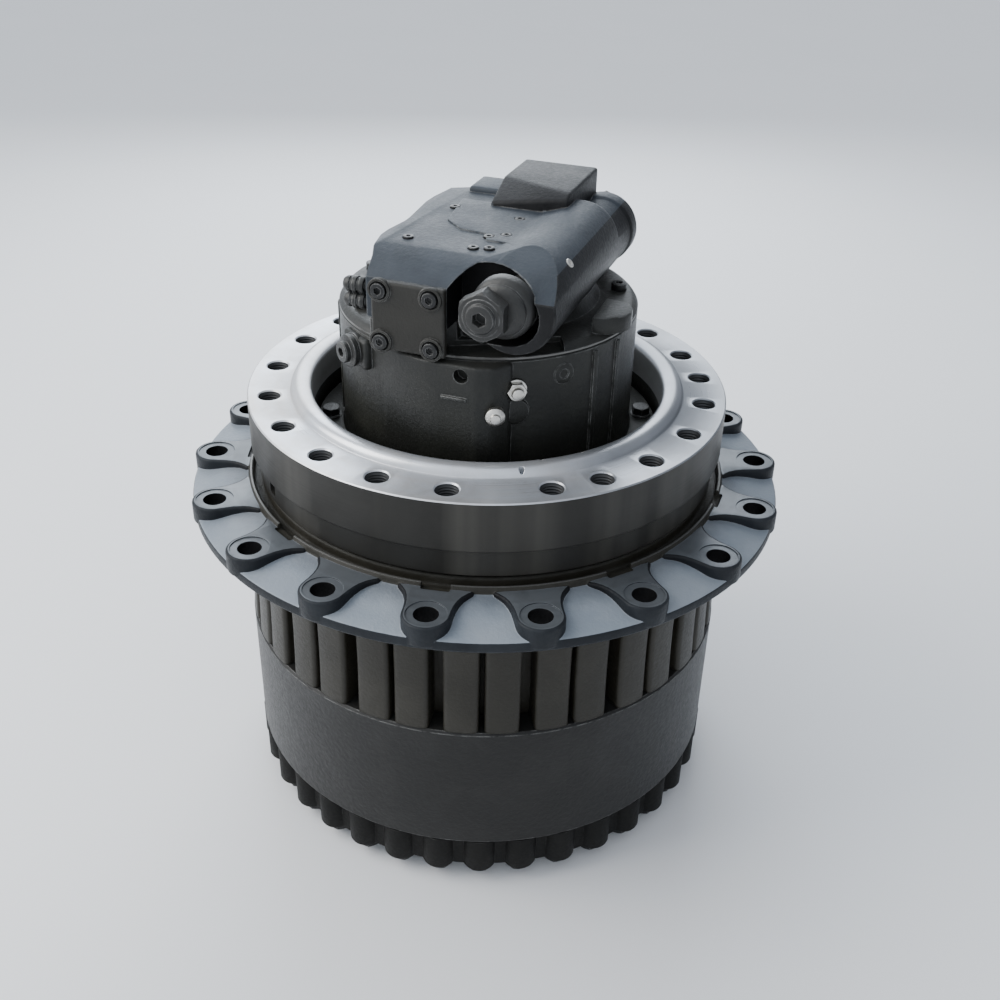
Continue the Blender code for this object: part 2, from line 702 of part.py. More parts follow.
def make_second_stage():
    bore = SECOND_PIN_R + GAP
    pin_profile = [(0, SPINDLE_LOW + PIN_DEPTH), (SECOND_PIN_R, SPINDLE_LOW + PIN_DEPTH),
                   (SECOND_PIN_R, SECOND_PLATE_LOW), (0, SECOND_PLATE_LOW)]
    for number, angle in enumerate(evenly(PLANET_COUNT), 1):
        make_planet(f"second_planet_{number}", SECOND_PLANET_TEETH, SECOND_CENTRE, angle,
                    SECOND_PIN_R, SECOND_LOW, SECOND_HIGH)
        make_pin(f"second_planet_pin_{number}", SECOND_CENTRE, angle, pin_profile)
    carrier = turned("second_carrier", ring_profile(SPIGOT_R + SEAT_OVERLAP,
                                                    JOURNAL_R - SECOND_PLATE_INSET,
                                                    SECOND_PLATE_LOW, SECOND_PLATE_HIGH),
                     BODY_STEPS)
    post_circle = JOURNAL_R - POST_R - POST_INSET
    posts = [(*on_circle(post_circle, angle), POST_R, SECOND_PLATE_HIGH - SEAT_OVERLAP,
              SPINDLE_LOW - GAP) for angle in evenly(PLANET_COUNT, math.pi / PLANET_COUNT)]
    join(carrier, rods("carrier_posts", posts, SMALL_STEPS))
    holes = [(*on_circle(SECOND_CENTRE, angle), bore, SECOND_PLATE_LOW - OVERRUN,
              SECOND_PLATE_HIGH + OVERRUN) for angle in evenly(PLANET_COUNT)]
    cut(carrier, rods("second_pin_holes", holes, SMALL_STEPS))
    cast_iron(carrier)
    phase = sun_phase(SECOND_SUN_TEETH, SECOND_PLANET_TEETH)
    sun = plate("second_sun_gear", [gear_points(SECOND_SUN_TEETH, phase),
                                    circle(SUN_BORE_R, SHAFT_STEPS)], SECOND_LOW, SECOND_HIGH)
    spigot = turned("second_sun_spigot", ring_profile(SUN_BORE_R - WELD, SPIGOT_R,
                                                      FIRST_PLATE_LOW, SECOND_LOW + SEAT_OVERLAP),
                    BODY_STEPS, TOOLS)
    join(sun, spigot)
    cut(sun, rods("second_sun_bore", [(0, 0, SUN_BORE_R + WELD, FIRST_PLATE_LOW - OVERRUN,
                                       SECOND_HIGH + OVERRUN)], SHAFT_STEPS))
    set_z_origin(sun)
    merge_flat_faces(sun)
    gear_steel(sun)


# Hub, bearings and seals


def rib_outline():
    """The columns' outline: pairs of columns with a wide gap below each sprocket bolt."""
    pitch = 2 * math.pi / RIB_COUNT
    valley = HUB_CORE_R + RIB_ROOT_STEP
    outline = []
    for index, angle in enumerate(evenly(RIB_COUNT, pitch / 2)):
        wide = pitch * RIB_WIDE_SHARE / 2
        narrow = pitch * RIB_NARROW_SHARE / 2
        before, after = (wide, narrow) if index % 2 == 0 else (narrow, wide)
        start = angle - pitch / 2 + before
        end = angle + pitch / 2 - after
        outline.append(on_circle(valley, start))
        outline.append(on_circle(DRUM_R, start))
        outline.append(on_circle(DRUM_R, end))
        outline.append(on_circle(valley, end))
    return outline


def boss_outline(angle):
    """One U shaped bolt boss, from inside the neck out to its round end."""
    x, y = on_circle(BOSS_CIRCLE, angle)
    outline = []
    for i in range(BOSS_ARC_POINTS):
        turn = angle + math.pi * (i / (BOSS_ARC_POINTS - 1) - 1 / 2)
        outline.append((x + BOSS_R * math.cos(turn), y + BOSS_R * math.sin(turn)))
    back = (NECK_BORE_R + NECK_R) / 2 - BOSS_CIRCLE
    side = angle + math.pi / 2
    for sign in (1, -1):
        outline.append((x + back * math.cos(angle) + sign * BOSS_R * math.cos(side),
                        y + back * math.sin(angle) + sign * BOSS_R * math.sin(side)))
    return outline


def make_hub():
    seat_r = RACE_R + GAP
    shoulder_r = RACE_R - SHOULDER_STEP
    hub = turned("hub", [(HUB_CORE_R, SEAL_FLOOR), (HUB_CORE_R, HUB_LOW), (seat_r, HUB_LOW),
                         (seat_r, FRONT_BEARING + RACE_WIDTH + GAP),
                         (shoulder_r, FRONT_BEARING + RACE_WIDTH + GAP),
                         (shoulder_r, REAR_BEARING - GAP), (seat_r, REAR_BEARING - GAP),
                         (seat_r, SEAL_FLOOR)], CASE_STEPS)
    shoulder = NECK_R + FLANGE_SHOULDER
    flange = turned("hub_flange", [(NECK_BORE_R, NECK_TOP), (NECK_R, NECK_TOP),
                                   (NECK_R + NECK_TAPER, NECK_TOP - NECK_DROP),
                                   (shoulder, NECK_TOP - NECK_DROP - FLANGE_SHOULDER_DROP),
                                   (FLANGE_R, RIM_TOP), (FLANGE_R, RIM_LOW),
                                   (NECK_BORE_R, RIM_LOW)], RIM_STEPS, TOOLS)
    join(hub, flange)
    ribs = plate("hub_ribs", [rib_outline(), circle(HUB_CORE_R - RIB_SEAT, CASE_STEPS)],
                 HUB_LOW, RIM_LOW + OVERRUN, TOOLS)
    join(hub, ribs)
    bosses = plate("hub_bosses", [boss_outline(angle) for angle in evenly(BOSS_COUNT)],
                   RIM_LOW + SEAT_OVERLAP, RIM_TOP + BOSS_RISE, TOOLS)
    join(hub, bosses)
    holes = [(*on_circle(BOSS_CIRCLE, angle), SPROCKET_HOLE_R, RIM_LOW - OVERRUN,
              RIM_TOP + BOSS_RISE + OVERRUN) for angle in evenly(BOSS_COUNT)]
    cut(hub, rods("sprocket_holes", holes, SMALL_STEPS, math.pi / SMALL_STEPS))
    half = NECK_NOTCH_WIDTH / 2
    notches = [((NECK_BORE_R - OVERRUN, -half, NECK_TOP - NECK_NOTCH_DEPTH),
                (NECK_R + NECK_TAPER + OVERRUN, half, NECK_TOP + OVERRUN), angle)
               for angle in evenly(NECK_NOTCH_COUNT)]
    cut(hub, boxes("neck_notches", notches))
    bolt_holes = [(*on_circle(COVER_BOLT_CIRCLE, angle), COVER_BOLT_R + END_PLAY,
                   HUB_LOW - OVERRUN, HUB_LOW + COVER_BOLT_DEPTH + END_PLAY)
                  for angle in evenly(LOBE_COUNT // LONG_BOLT_STEP)]
    cut(hub, rods("hub_bolt_holes", bolt_holes, BOLT_STEPS))
    merge_flat_faces(hub)
    dark_paint(hub)


def make_bearing(prefix, low, lean):
    """One hub bearing: two races and, between them, the cage with its rollers as one ring."""
    high = low + RACE_WIDTH
    tip = RACE_TAPER * lean
    inner_low, inner_high = INNER_RACE_R - tip / 2, INNER_RACE_R + tip / 2
    outer_low, outer_high = ROW_R - tip / 2, ROW_R + tip / 2
    inner = turned(prefix + "_inner_race", [(inner_high, high), (inner_low, low),
                                            (JOURNAL_R + GAP, low), (JOURNAL_R + GAP, high)],
                   CASE_STEPS)
    outer = turned(prefix + "_outer_race", [(RACE_R, high), (RACE_R, low),
                                            (running_bore(outer_low, CASE_STEPS), low),
                                            (running_bore(outer_high, CASE_STEPS), high)],
                   CASE_STEPS)
    row = turned(prefix + "_roller_row", [(outer_high, high - GAP), (outer_low, low + GAP),
                                          (running_bore(inner_low, CASE_STEPS), low + GAP),
                                          (running_bore(inner_high, CASE_STEPS), high - GAP)],
                 CASE_STEPS)
    for item in (inner, outer, row):
        gear_steel(item)


def make_seals():
    rotating_low = SEAL_FLOOR + GAP
    rotating_high = rotating_low + SEAL_THICK
    rotating = turned("rotating_seal_ring", [(SEAL_OUT_R, rotating_high),
                                             (SEAL_OUT_R - SEAL_BEVEL, rotating_low),
                                             (SEAL_IN_R, rotating_low),
                                             (SEAL_IN_R, rotating_high)], CASE_STEPS)
    fixed_high = FIXED_SEAL_LOW + SEAL_THICK
    fixed = turned("fixed_seal_ring", [(SEAL_OUT_R - SEAL_BEVEL, fixed_high),
                                       (SEAL_OUT_R, FIXED_SEAL_LOW),
                                       (SEAL_IN_R, FIXED_SEAL_LOW),
                                       (SEAL_IN_R, fixed_high)], CASE_STEPS)
    gear_steel(rotating)
    gear_steel(fixed)


def make_spindle():
    shoulder_r = JOURNAL_R + INNER_SHOULDER
    rear_race_top = REAR_BEARING + RACE_WIDTH + GAP
    spindle = turned("spindle_housing", [(WELL_R - SEAT_OVERLAP, LEDGE),
                                         (WELL_R - SEAT_OVERLAP, UNDERSIDE + SEAT_OVERLAP),
                                         (shoulder_r, UNDERSIDE + SEAT_OVERLAP / 2),
                                         (shoulder_r, rear_race_top), (JOURNAL_R, rear_race_top),
                                         (JOURNAL_R, SPINDLE_LOW), (SPINDLE_HOLE_R, SPINDLE_LOW),
                                         (SPINDLE_HOLE_R, LEDGE)], CASE_STEPS)
    inner = shoulder_r - SEAT_OVERLAP
    flange = turned("frame_flange", [(LIP_R, FRAME_FACE + LIP_RISE),
                                     (LIP_R + LIP_SLOPE, FRAME_FACE),
                                     (FRAME_FLANGE_R, FRAME_FACE),
                                     (FRAME_FLANGE_R, FRAME_FLANGE_LOW), (STEP_R, STEP_TOP),
                                     (STEP_R, UNDERSIDE), (inner, UNDERSIDE),
                                     (inner, LEDGE - SEAT_OVERLAP), (WELL_R, LEDGE - SEAT_OVERLAP),
                                     (WELL_R, FRAME_FACE + LIP_RISE)], RIM_STEPS, TOOLS)
    join(spindle, flange)
    cut(spindle, rods("motor_bore", [(0, 0, BORE_R, SPINDLE_FLOOR_TOP, LEDGE + OVERRUN)],
                      CASE_STEPS))
    holes = [(*on_circle(FRAME_HOLE_CIRCLE, math.radians(azimuth)), FRAME_HOLE_R,
              FRAME_FACE - FRAME_HOLE_DEPTH, FRAME_FACE + OVERRUN)
             for azimuth in FRAME_HOLE_AZIMUTHS]
    cut(spindle, rods("frame_bolt_holes", holes, SMALL_STEPS))
    pin_holes = [(*on_circle(SECOND_CENTRE, angle), SECOND_PIN_R + GAP, SPINDLE_LOW - OVERRUN,
                  SPINDLE_LOW + PIN_DEPTH + GAP) for angle in evenly(PLANET_COUNT)]
    cut(spindle, rods("spindle_pin_holes", pin_holes, SMALL_STEPS))
    merge_flat_faces(spindle)
    finish(spindle, (0.50, 0.50, 0.49), 0.34, 0.9)
    nut_top = SPINDLE_LOW + NUT_THICK
    nut_r = JOURNAL_R + NUT_RIM
    nut = turned("bearing_nut", ring_profile(JOURNAL_R + GAP, nut_r, SPINDLE_LOW, nut_top),
                 CASE_STEPS)
    half = NUT_SLOT_WIDTH / 2
    slots = [((nut_r - NUT_SLOT_DEPTH, -half, SPINDLE_LOW - OVERRUN),
              (nut_r + OVERRUN, half, nut_top + OVERRUN), angle)
             for angle in evenly(NUT_SLOT_COUNT)]
    cut(nut, boxes("nut_slots", slots))
    gear_steel(nut)


# Travel motor


def make_motor_case():
    pilot_r = BORE_R - GAP
    flange_r = WELL_R - CASE_FLANGE_GAP
    flange_low = LEDGE + GAP
    flange_high = flange_low + CASE_FLANGE_THICK
    floor_top = CASE_LOW + CASE_FLOOR
    hole_r = SHAFT_R + GAP
    case = turned("motor_case", [(CASE_R, CASE_TOP), (CASE_R, flange_high),
                                 (flange_r, flange_high), (flange_r, flange_low),
                                 (pilot_r, flange_low), (pilot_r, CASE_LOW), (hole_r, CASE_LOW),
                                 (hole_r, floor_top), (CASE_CAVITY_R, floor_top),
                                 (CASE_CAVITY_R, CASE_TOP)], CASE_STEPS)
    pad = boxes("case_pad", [((PAD_LEFT, PAD_FRONT, CASE_TOP - PAD_TOP_GAP - PAD_HEIGHT),
                              (PAD_RIGHT, PAD_BACK, CASE_TOP - PAD_TOP_GAP), 0)])
    join(case, pad)
    bolt_circle = (CASE_R + flange_r) / 2
    bolts = [(*on_circle(bolt_circle, angle), CASE_BOLT_R, flange_high - SEAT_OVERLAP,
              flange_high + CASE_BOLT_HEIGHT)
             for angle in evenly(CASE_BOLT_COUNT, math.pi / CASE_BOLT_COUNT)]
    join(case, rods("case_bolts", bolts, BOLT_STEPS))
    motor_paint(case)


def make_end_cover():
    spigot_r = CASE_CAVITY_R - GAP
    shaft_hole = running_bore(SHAFT_R, SHAFT_STEPS)
    cover = turned("motor_end_cover", [(CASE_R - END_COVER_ROUND, END_COVER_TOP),
                                       (CASE_R - END_COVER_ROUND / 3,
                                        END_COVER_TOP - END_COVER_ROUND / 3),
                                       (CASE_R, END_COVER_TOP - END_COVER_ROUND),
                                       (CASE_R, END_COVER_LOW), (spigot_r, END_COVER_LOW),
                                       (spigot_r, END_COVER_LOW - END_SPIGOT),
                                       (0, END_COVER_LOW - END_SPIGOT)], CASE_STEPS)
    rebuild_as_solid(cover, END_COVER_TOP)
    pad = boxes("end_cover_pad", [((FRONT_PLATE_LEFT, BLOCK_FRONT, END_COVER_LOW + PAD_TOP_GAP),
                                   (FRONT_PLATE_RIGHT, BLOCK_FRONT + PAD_DEPTH / 2,
                                    END_COVER_TOP - PAD_TOP_GAP), 0)])
    join(cover, pad)
    groove = barrel_rod("barrel_groove", BARREL_R + BARREL_RELIEF, BARREL_FRONT - BARREL_R,
                        BARREL_BACK + BARREL_R, CASE_STEPS)
    cut(cover, groove)
    shaft_hole_depth = END_SPIGOT / 2
    cut(cover, rods("end_cover_bore", [(0, 0, shaft_hole, END_COVER_LOW - END_SPIGOT - OVERRUN,
                                        END_COVER_LOW - END_SPIGOT + shaft_hole_depth)],
                    SHAFT_STEPS))
    motor_paint(cover)


def rebuild_as_solid(item, top):
    """Start a profile on the axis at the top, so that its turned body is solid right through."""
    mesh = item.data
    points = [(0, 0, top)] + [tuple(vertex.co) for vertex in mesh.vertices]
    mesh.clear_geometry()
    mesh.from_pydata(points, [(i, i + 1) for i in range(len(points) - 1)], [])


def barrel_rod(name, radius, front, back, sides):
    """A tool rod along Y on the counterbalance barrel's axis."""
    shape = bmesh.new()
    turn = Matrix.Rotation(math.pi / 2, 4, "X")
    move = Matrix.Translation(Vector((BARREL_X, (front + back) / 2, BARREL_Z)))
    bmesh.ops.create_cone(shape, cap_ends=True, segments=sides, radius1=radius, radius2=radius,
                          depth=back - front, matrix=move @ turn)
    mesh = bpy.data.meshes.new(name)
    shape.to_mesh(mesh)
    shape.free()
    return add_object(name, mesh, TOOLS)


def lay_along_y(item, x, y, z):
    """Lay a piece that was turned about Z along Y: its top looks along -Y."""
    item.rotation_euler = (math.pi / 2, 0, 0)
    item.location = (x, y, z)


def make_valve_block():
    height = BLOCK_BASE + BLOCK_HEIGHT
    edge = BLOCK_BASE + BLOCK_EDGE_HEIGHT
    side = [(BLOCK_FRONT, BLOCK_BASE), (BLOCK_BACK, BLOCK_BASE), (BLOCK_BACK, height),
            (BLOCK_FRONT + BLOCK_EDGE_DEPTH, height), (BLOCK_FRONT, edge)]
    block = plate("valve_block", [side], BLOCK_LEFT, BLOCK_RIGHT)
    block.data.transform(Matrix.Translation(Vector((0, 0, block.location.z))))
    block.data.transform(Matrix(((0, 0, 1, 0), (1, 0, 0, 0), (0, 1, 0, 0), (0, 0, 0, 1))))
    block.location = (0, 0, 0)
    soften = block.modifiers.new("edges", "BEVEL")
    soften.width = BLOCK_CHAMFER / 2
    soften.segments = 1
    soften.limit_method = "ANGLE"
    boss = boxes("port_boss", [((PORT_BOSS_LEFT, PORT_BOSS_FRONT, height - BLOCK_HEIGHT / 2),
                                (PORT_BOSS_RIGHT, PORT_BOSS_BACK, height + PORT_BOSS_RISE), 0)])
    join(block, barrel_rod("barrel", BARREL_R, BARREL_FRONT, BARREL_BACK, CASE_STEPS))
    join(block, boss)
    cut(block, barrel_rod("spool_bore", SPOOL_R + GAP, BARREL_FRONT - OVERRUN,
                          BARREL_BACK + OVERRUN, SHAFT_STEPS))
    middle = (BARREL_FRONT + BARREL_BACK) / 2
    half = SPOOL_LENGTH / 2
    cut(block, barrel_rod("front_chamber", SPRING_CHAMBER_R, BARREL_FRONT - OVERRUN,
                          middle - half, SHAFT_STEPS))
    cut(block, barrel_rod("rear_chamber", SPRING_CHAMBER_R, middle + half,
                          BARREL_BACK + OVERRUN, SHAFT_STEPS))
    cut(block, barrel_rod("front_recess", CAP_RECESS_R, BARREL_FRONT - OVERRUN,
                          BARREL_FRONT + CAP_RECESS_DEPTH, SHAFT_STEPS))
    for number in range(2):
        x = PORT_BOSS_LEFT + PORT_LEFT_INSET + number * PORT_SPACING
        cut(block, side_rod(f"hose_port_{number}", x, PORT_Z, PORT_R, PORT_BOSS_BACK - PORT_DEPTH,
                            PORT_BOSS_BACK + OVERRUN, BORE_STEPS))
    motor_paint(block)


def make_counterbalance():
    middle = (BARREL_FRONT + BARREL_BACK) / 2
    half = SPOOL_LENGTH / 2
    land = SPOOL_LENGTH / 7
    profile = [(0, half)]
    for i in range(4):
        top = half - 2 * i * land
        profile += [(SPOOL_R, top), (SPOOL_R, top - land)]
        if i < 3:
            profile += [(SPOOL_R - SPOOL_GROOVE, top - land),
                        (SPOOL_R - SPOOL_GROOVE, top - 2 * land)]
    profile.append((0, -half))
    spool = turned("counterbalance_spool", profile, SHAFT_STEPS, on_axis=True)
    lay_along_y(spool, BARREL_X, middle, BARREL_Z)
    gear_steel(spool)
    front_seat = BARREL_FRONT + CAP_RECESS_DEPTH + CAP_SEAT_DEPTH
    rear_seat = BARREL_BACK - CAP_SEAT_DEPTH
    make_spring("spool_spring_front", front_seat + GAP, middle - half - GAP)
    make_spring("spool_spring_rear", middle + half + GAP, rear_seat - GAP)
    make_cap("spool_cap_front", BARREL_FRONT + CAP_RECESS_DEPTH, -1)
    make_cap("spool_cap_rear", BARREL_BACK, 1)


def make_spring(name, front, back):
    """A coil spring of square wire along Y, between its cap and the spool's end."""
    mean = SPOOL_R - SPRING_WIRE_R
    length = back - front - 2 * SPRING_WIRE_R
    count = SPRING_COILS * SPRING_COIL_POINTS
    curve = bpy.data.curves.new(name, "CURVE")
    curve.dimensions = "3D"
    curve.bevel_depth = SPRING_WIRE_R
    curve.bevel_resolution = 0
    curve.use_fill_caps = True
    spline = curve.splines.new("POLY")
    spline.points.add(count)
    for i, point in enumerate(spline.points):
        turn = 2 * math.pi * i / SPRING_COIL_POINTS
        along = front + SPRING_WIRE_R + length * i / count
        point.co = (BARREL_X + mean * math.cos(turn), along, BARREL_Z + mean * math.sin(turn), 1)
    guide = add_object(name + "_wire", curve, PARTS)
    gear_steel(solid_from_curve(guide, name, PARTS))


def make_cap(name, seat, side):
    """A screwed cap: its plug fills the chamber's mouth and its hex and nose stand outside."""
    plug_r = SPRING_CHAMBER_R - GAP
    nose_top = GAP + CAP_HEX_LENGTH + CAP_NOSE_LENGTH
    inside_hex = GAP + CAP_HEX_LENGTH / 2
    cap = turned(name, [(0, nose_top), (CAP_NOSE_R, nose_top), (CAP_NOSE_R, inside_hex),
                        (plug_r, inside_hex), (plug_r, -CAP_SEAT_DEPTH), (0, -CAP_SEAT_DEPTH)],
                 SHAFT_STEPS, on_axis=True)
    lay_along_y(cap, BARREL_X, seat, BARREL_Z)
    if side > 0:
        cap.rotation_euler.x = -math.pi / 2
    hexagon = side_rod(name + "_hex", BARREL_X, BARREL_Z, CAP_HEX_R, seat + side * GAP,
                       seat + side * (GAP + CAP_HEX_LENGTH), BOLT_STEPS)
    join(cap, hexagon)
    socket = side_rod(name + "_socket", BARREL_X, BARREL_Z, CAP_SOCKET_R,
                      seat + side * (nose_top + OVERRUN),
                      seat + side * (nose_top - CAP_SOCKET_DEPTH), BOLT_STEPS)
    cut(cap, socket)
    motor_paint(cap)


def side_rod(name, x, z, radius, start, end, sides):
    """A tool rod along Y between two places."""
    front, back = min(start, end), max(start, end)
    shape = bmesh.new()
    turn = Matrix.Rotation(math.pi / 2, 4, "X")
    move = Matrix.Translation(Vector((x, (front + back) / 2, z)))
    bmesh.ops.create_cone(shape, cap_ends=True, segments=sides, radius1=radius, radius2=radius,
                          depth=back - front, matrix=move @ turn)
    mesh = bpy.data.meshes.new(name)
    shape.to_mesh(mesh)
    shape.free()
    return add_object(name, mesh, TOOLS)


def make_front_plate():
    """The plate bolted to the front of the end cover and valve block, with its four bolts."""
    low = BLOCK_BASE - FRONT_PLATE_DROP
    high = BLOCK_BASE + BLOCK_EDGE_HEIGHT
    back = BLOCK_FRONT - GAP
    front = back - FRONT_PLATE_THICK
    middle = (FRONT_PLATE_LEFT + FRONT_PLATE_RIGHT) / 2
    frame = plate("front_plate", [[(FRONT_PLATE_LEFT - middle, low), (FRONT_PLATE_RIGHT - middle, low),
                                   (FRONT_PLATE_RIGHT - middle, high),
                                   (FRONT_PLATE_LEFT - middle, high)]],
                  -FRONT_PLATE_THICK / 2, FRONT_PLATE_THICK / 2)
    frame.rotation_euler = (math.pi / 2, 0, 0)
    frame.location = (middle, (front + back) / 2, 0)
    for number, (x, z) in enumerate(((FRONT_PLATE_LEFT + FRONT_BOLT_INSET, high - FRONT_BOLT_INSET),
                                     (FRONT_PLATE_RIGHT - FRONT_BOLT_INSET, high - FRONT_BOLT_INSET),
                                     (FRONT_PLATE_LEFT + FRONT_BOLT_INSET, low + FRONT_BOLT_INSET),
                                     (FRONT_PLATE_RIGHT - FRONT_BOLT_INSET,
                                      low + FRONT_BOLT_INSET))):
        join(frame, side_rod(f"front_bolt_{number}", x, z, FRONT_BOLT_R,
                             front - FRONT_BOLT_HEIGHT, front + FRONT_PLATE_THICK / 2, SMALL_STEPS))
        cut(frame, side_rod(f"front_bolt_socket_{number}", x, z, FRONT_BOLT_R / 2,
                            front - FRONT_BOLT_HEIGHT - OVERRUN,
                            front - FRONT_BOLT_HEIGHT / 4, BOLT_STEPS))
    motor_paint(frame)


def radial_plug(name, place, direction, radius, hex_radius, length, seat):
    """A hex plug whose shank sits in its boss and whose head stands out along the direction.

    The radius is its round hole's, so the shank clears the flat sides of that hole's facets.
    """
    radius = radius * math.cos(math.pi / SMALL_STEPS) - GAP
    outline = [(0, length), (hex_radius * NECK_SHARE, length), (hex_radius, length * NECK_SHARE),
               (hex_radius, GAP), (radius, GAP), (radius, -seat), (0, -seat)]
    plug = turned(name, outline, BOLT_STEPS, on_axis=True)
    plug.rotation_mode = "QUATERNION"
    plug.rotation_quaternion = Vector((0, 0, 1)).rotation_difference(Vector(direction))
    plug.location = place
    return plug


def plug_hole(host, plug_name, place, direction, radius, seat):
    """The hole in the host that takes a plug's shank."""
    shape = bmesh.new()
    spin = Vector((0, 0, 1)).rotation_difference(Vector(direction)).to_matrix().to_4x4()
    centre = Vector(place) - Vector(direction) * (seat - OVERRUN) / 2
    bmesh.ops.create_cone(shape, cap_ends=True, segments=SMALL_STEPS, radius1=radius,
                          radius2=radius, depth=seat + OVERRUN,
                          matrix=Matrix.Translation(centre) @ spin)
    mesh = bpy.data.meshes.new(plug_name + "_hole")
    shape.to_mesh(mesh)
    shape.free()
    cut(host, add_object(plug_name + "_hole", mesh, TOOLS))


def make_side_plugs():
    block = bpy.data.objects["valve_block"]
    case = bpy.data.objects["motor_case"]
    y = BLOCK_FRONT + SIDE_PLUG_SETBACK
    low = BLOCK_BASE + SIDE_PLUG_RISE
    left = (-1, 0, 0)
    for name, z in (("side_plug_upper", low + SIDE_PLUG_SPACING), ("side_plug_lower", low)):
        place = (BLOCK_LEFT, y, z)
        motor_paint(radial_plug(name, place, left, SIDE_PLUG_R, SIDE_PLUG_HEX_R,
                                SIDE_PLUG_LENGTH, SIDE_PLUG_SEAT))
        plug_hole(block, name, place, left, SIDE_PLUG_R, SIDE_PLUG_SEAT + GAP)
    fitting_z = CASE_TOP - PAD_HEIGHT / 3
    for name, azimuth, z, radius, hex_r, paint in (
            ("relief_valve", RELIEF_AZIMUTH, CASE_TOP - RELIEF_HEX_R * 1.1, RELIEF_R,
             RELIEF_HEX_R, motor_paint),
            ("case_fitting", FITTING_AZIMUTH, fitting_z, FITTING_R, FITTING_HEX_R, bright_steel)):
        direction = (*on_circle(1, azimuth), 0)
        seat_r = CASE_R + PAD_TOP_GAP
        place = (*on_circle(seat_r, azimuth), z)
        paint(radial_plug(name, place, direction, radius, hex_r, SIDE_PLUG_LENGTH,
                          SIDE_PLUG_SEAT))
        plug_hole(case, name, place, direction, radius, SIDE_PLUG_SEAT + GAP)


def make_rotating_group():
    shaft_low = SPINDLE_FLOOR_TOP - SHAFT_LEAD / 3
    socket_top = SPINDLE_FLOOR_TOP + SHAFT_SOCKET_DEPTH
    shaft_top = END_COVER_LOW - END_SPIGOT + END_SPIGOT / 2 - END_PLAY
    shaft = turned("drive_shaft", [(0, shaft_top), (SHAFT_R, shaft_top), (SHAFT_R, shaft_low),
                                   (SUN_SHAFT_R + GAP, shaft_low),
                                   (SUN_SHAFT_R + GAP, socket_top), (0, socket_top)],
                   SHAFT_STEPS, on_axis=True)
    gear_steel(shaft)
    cylinder = turned("cylinder_block", ring_profile(SHAFT_R + GAP, BLOCK_R, CYLINDER_LOW,
                                                     CYLINDER_TOP), BODY_STEPS)
    piston_low = CYLINDER_LOW - PISTON_REACH
    piston_top = CYLINDER_TOP - PISTON_SEAT
    bores = [(*on_circle(PISTON_CIRCLE, angle), PISTON_R + GAP, CYLINDER_LOW - OVERRUN,
              piston_top + PISTON_SEAT / 2) for angle in evenly(PISTON_COUNT)]
    cut(cylinder, rods("cylinder_bores", bores, SMALL_STEPS))
    gear_steel(cylinder)
    shoe_top = piston_low + SHOE_THICK
    neck_r = PISTON_R * NECK_SHARE
    profile = [(0, piston_top), (PISTON_R, piston_top), (neck_r, shoe_top),
               (SHOE_R, shoe_top), (SHOE_R, piston_low), (0, piston_low)]
    for number, angle in enumerate(evenly(PISTON_COUNT), 1):
        make_pin(f"piston_{number}", PISTON_CIRCLE, angle, profile)
    valve_plate = turned("valve_plate", ring_profile(SHAFT_R + END_PLAY * 2, BLOCK_R,
                                                     VALVE_PLATE_LOW,
                                                     VALVE_PLATE_LOW + VALVE_PLATE_THICK),
                         BODY_STEPS)
    cast_iron(valve_plate)


def make_swash_plate():
    """The tilting plate on its two trunnions; its tilt sets the motor's two speeds."""
    swing = (PISTON_CIRCLE + SHOE_R) * math.tan(SWASH_FULL_TILT)
    middle = CYLINDER_LOW - PISTON_REACH - swing - SWASH_THICK / 2 - END_PLAY
    swash = turned("swash_plate", ring_profile(SWASH_HOLE_R, SWASH_R, -SWASH_THICK,
                                               0), BODY_STEPS)
    shape = bmesh.new()
    turn = Matrix.Rotation(math.pi / 2, 4, "Y")
    for sign in (-1, 1):
        start = SWASH_R - SEAT_OVERLAP
        end = CASE_CAVITY_R - TRUNNION_R * math.tan(math.pi / CASE_STEPS) - GAP
        move = Matrix.Translation(Vector((sign * (start + end) / 2, 0, -SWASH_THICK / 2)))
        bmesh.ops.create_cone(shape, cap_ends=True, segments=SMALL_STEPS, radius1=TRUNNION_R,
                              radius2=TRUNNION_R, depth=end - start, matrix=move @ turn)
    mesh = bpy.data.meshes.new("trunnions")
    shape.to_mesh(mesh)
    shape.free()
    trunnions = add_object("trunnions", mesh, TOOLS)
    for item in (swash, trunnions):
        item.data.transform(Matrix.Translation(Vector((0, 0, SWASH_THICK / 2))))
        item.rotation_euler = (SWASH_TILT, 0, 0)
        item.location = (0, 0, middle)
    join(swash, trunnions)
    gear_steel(swash)


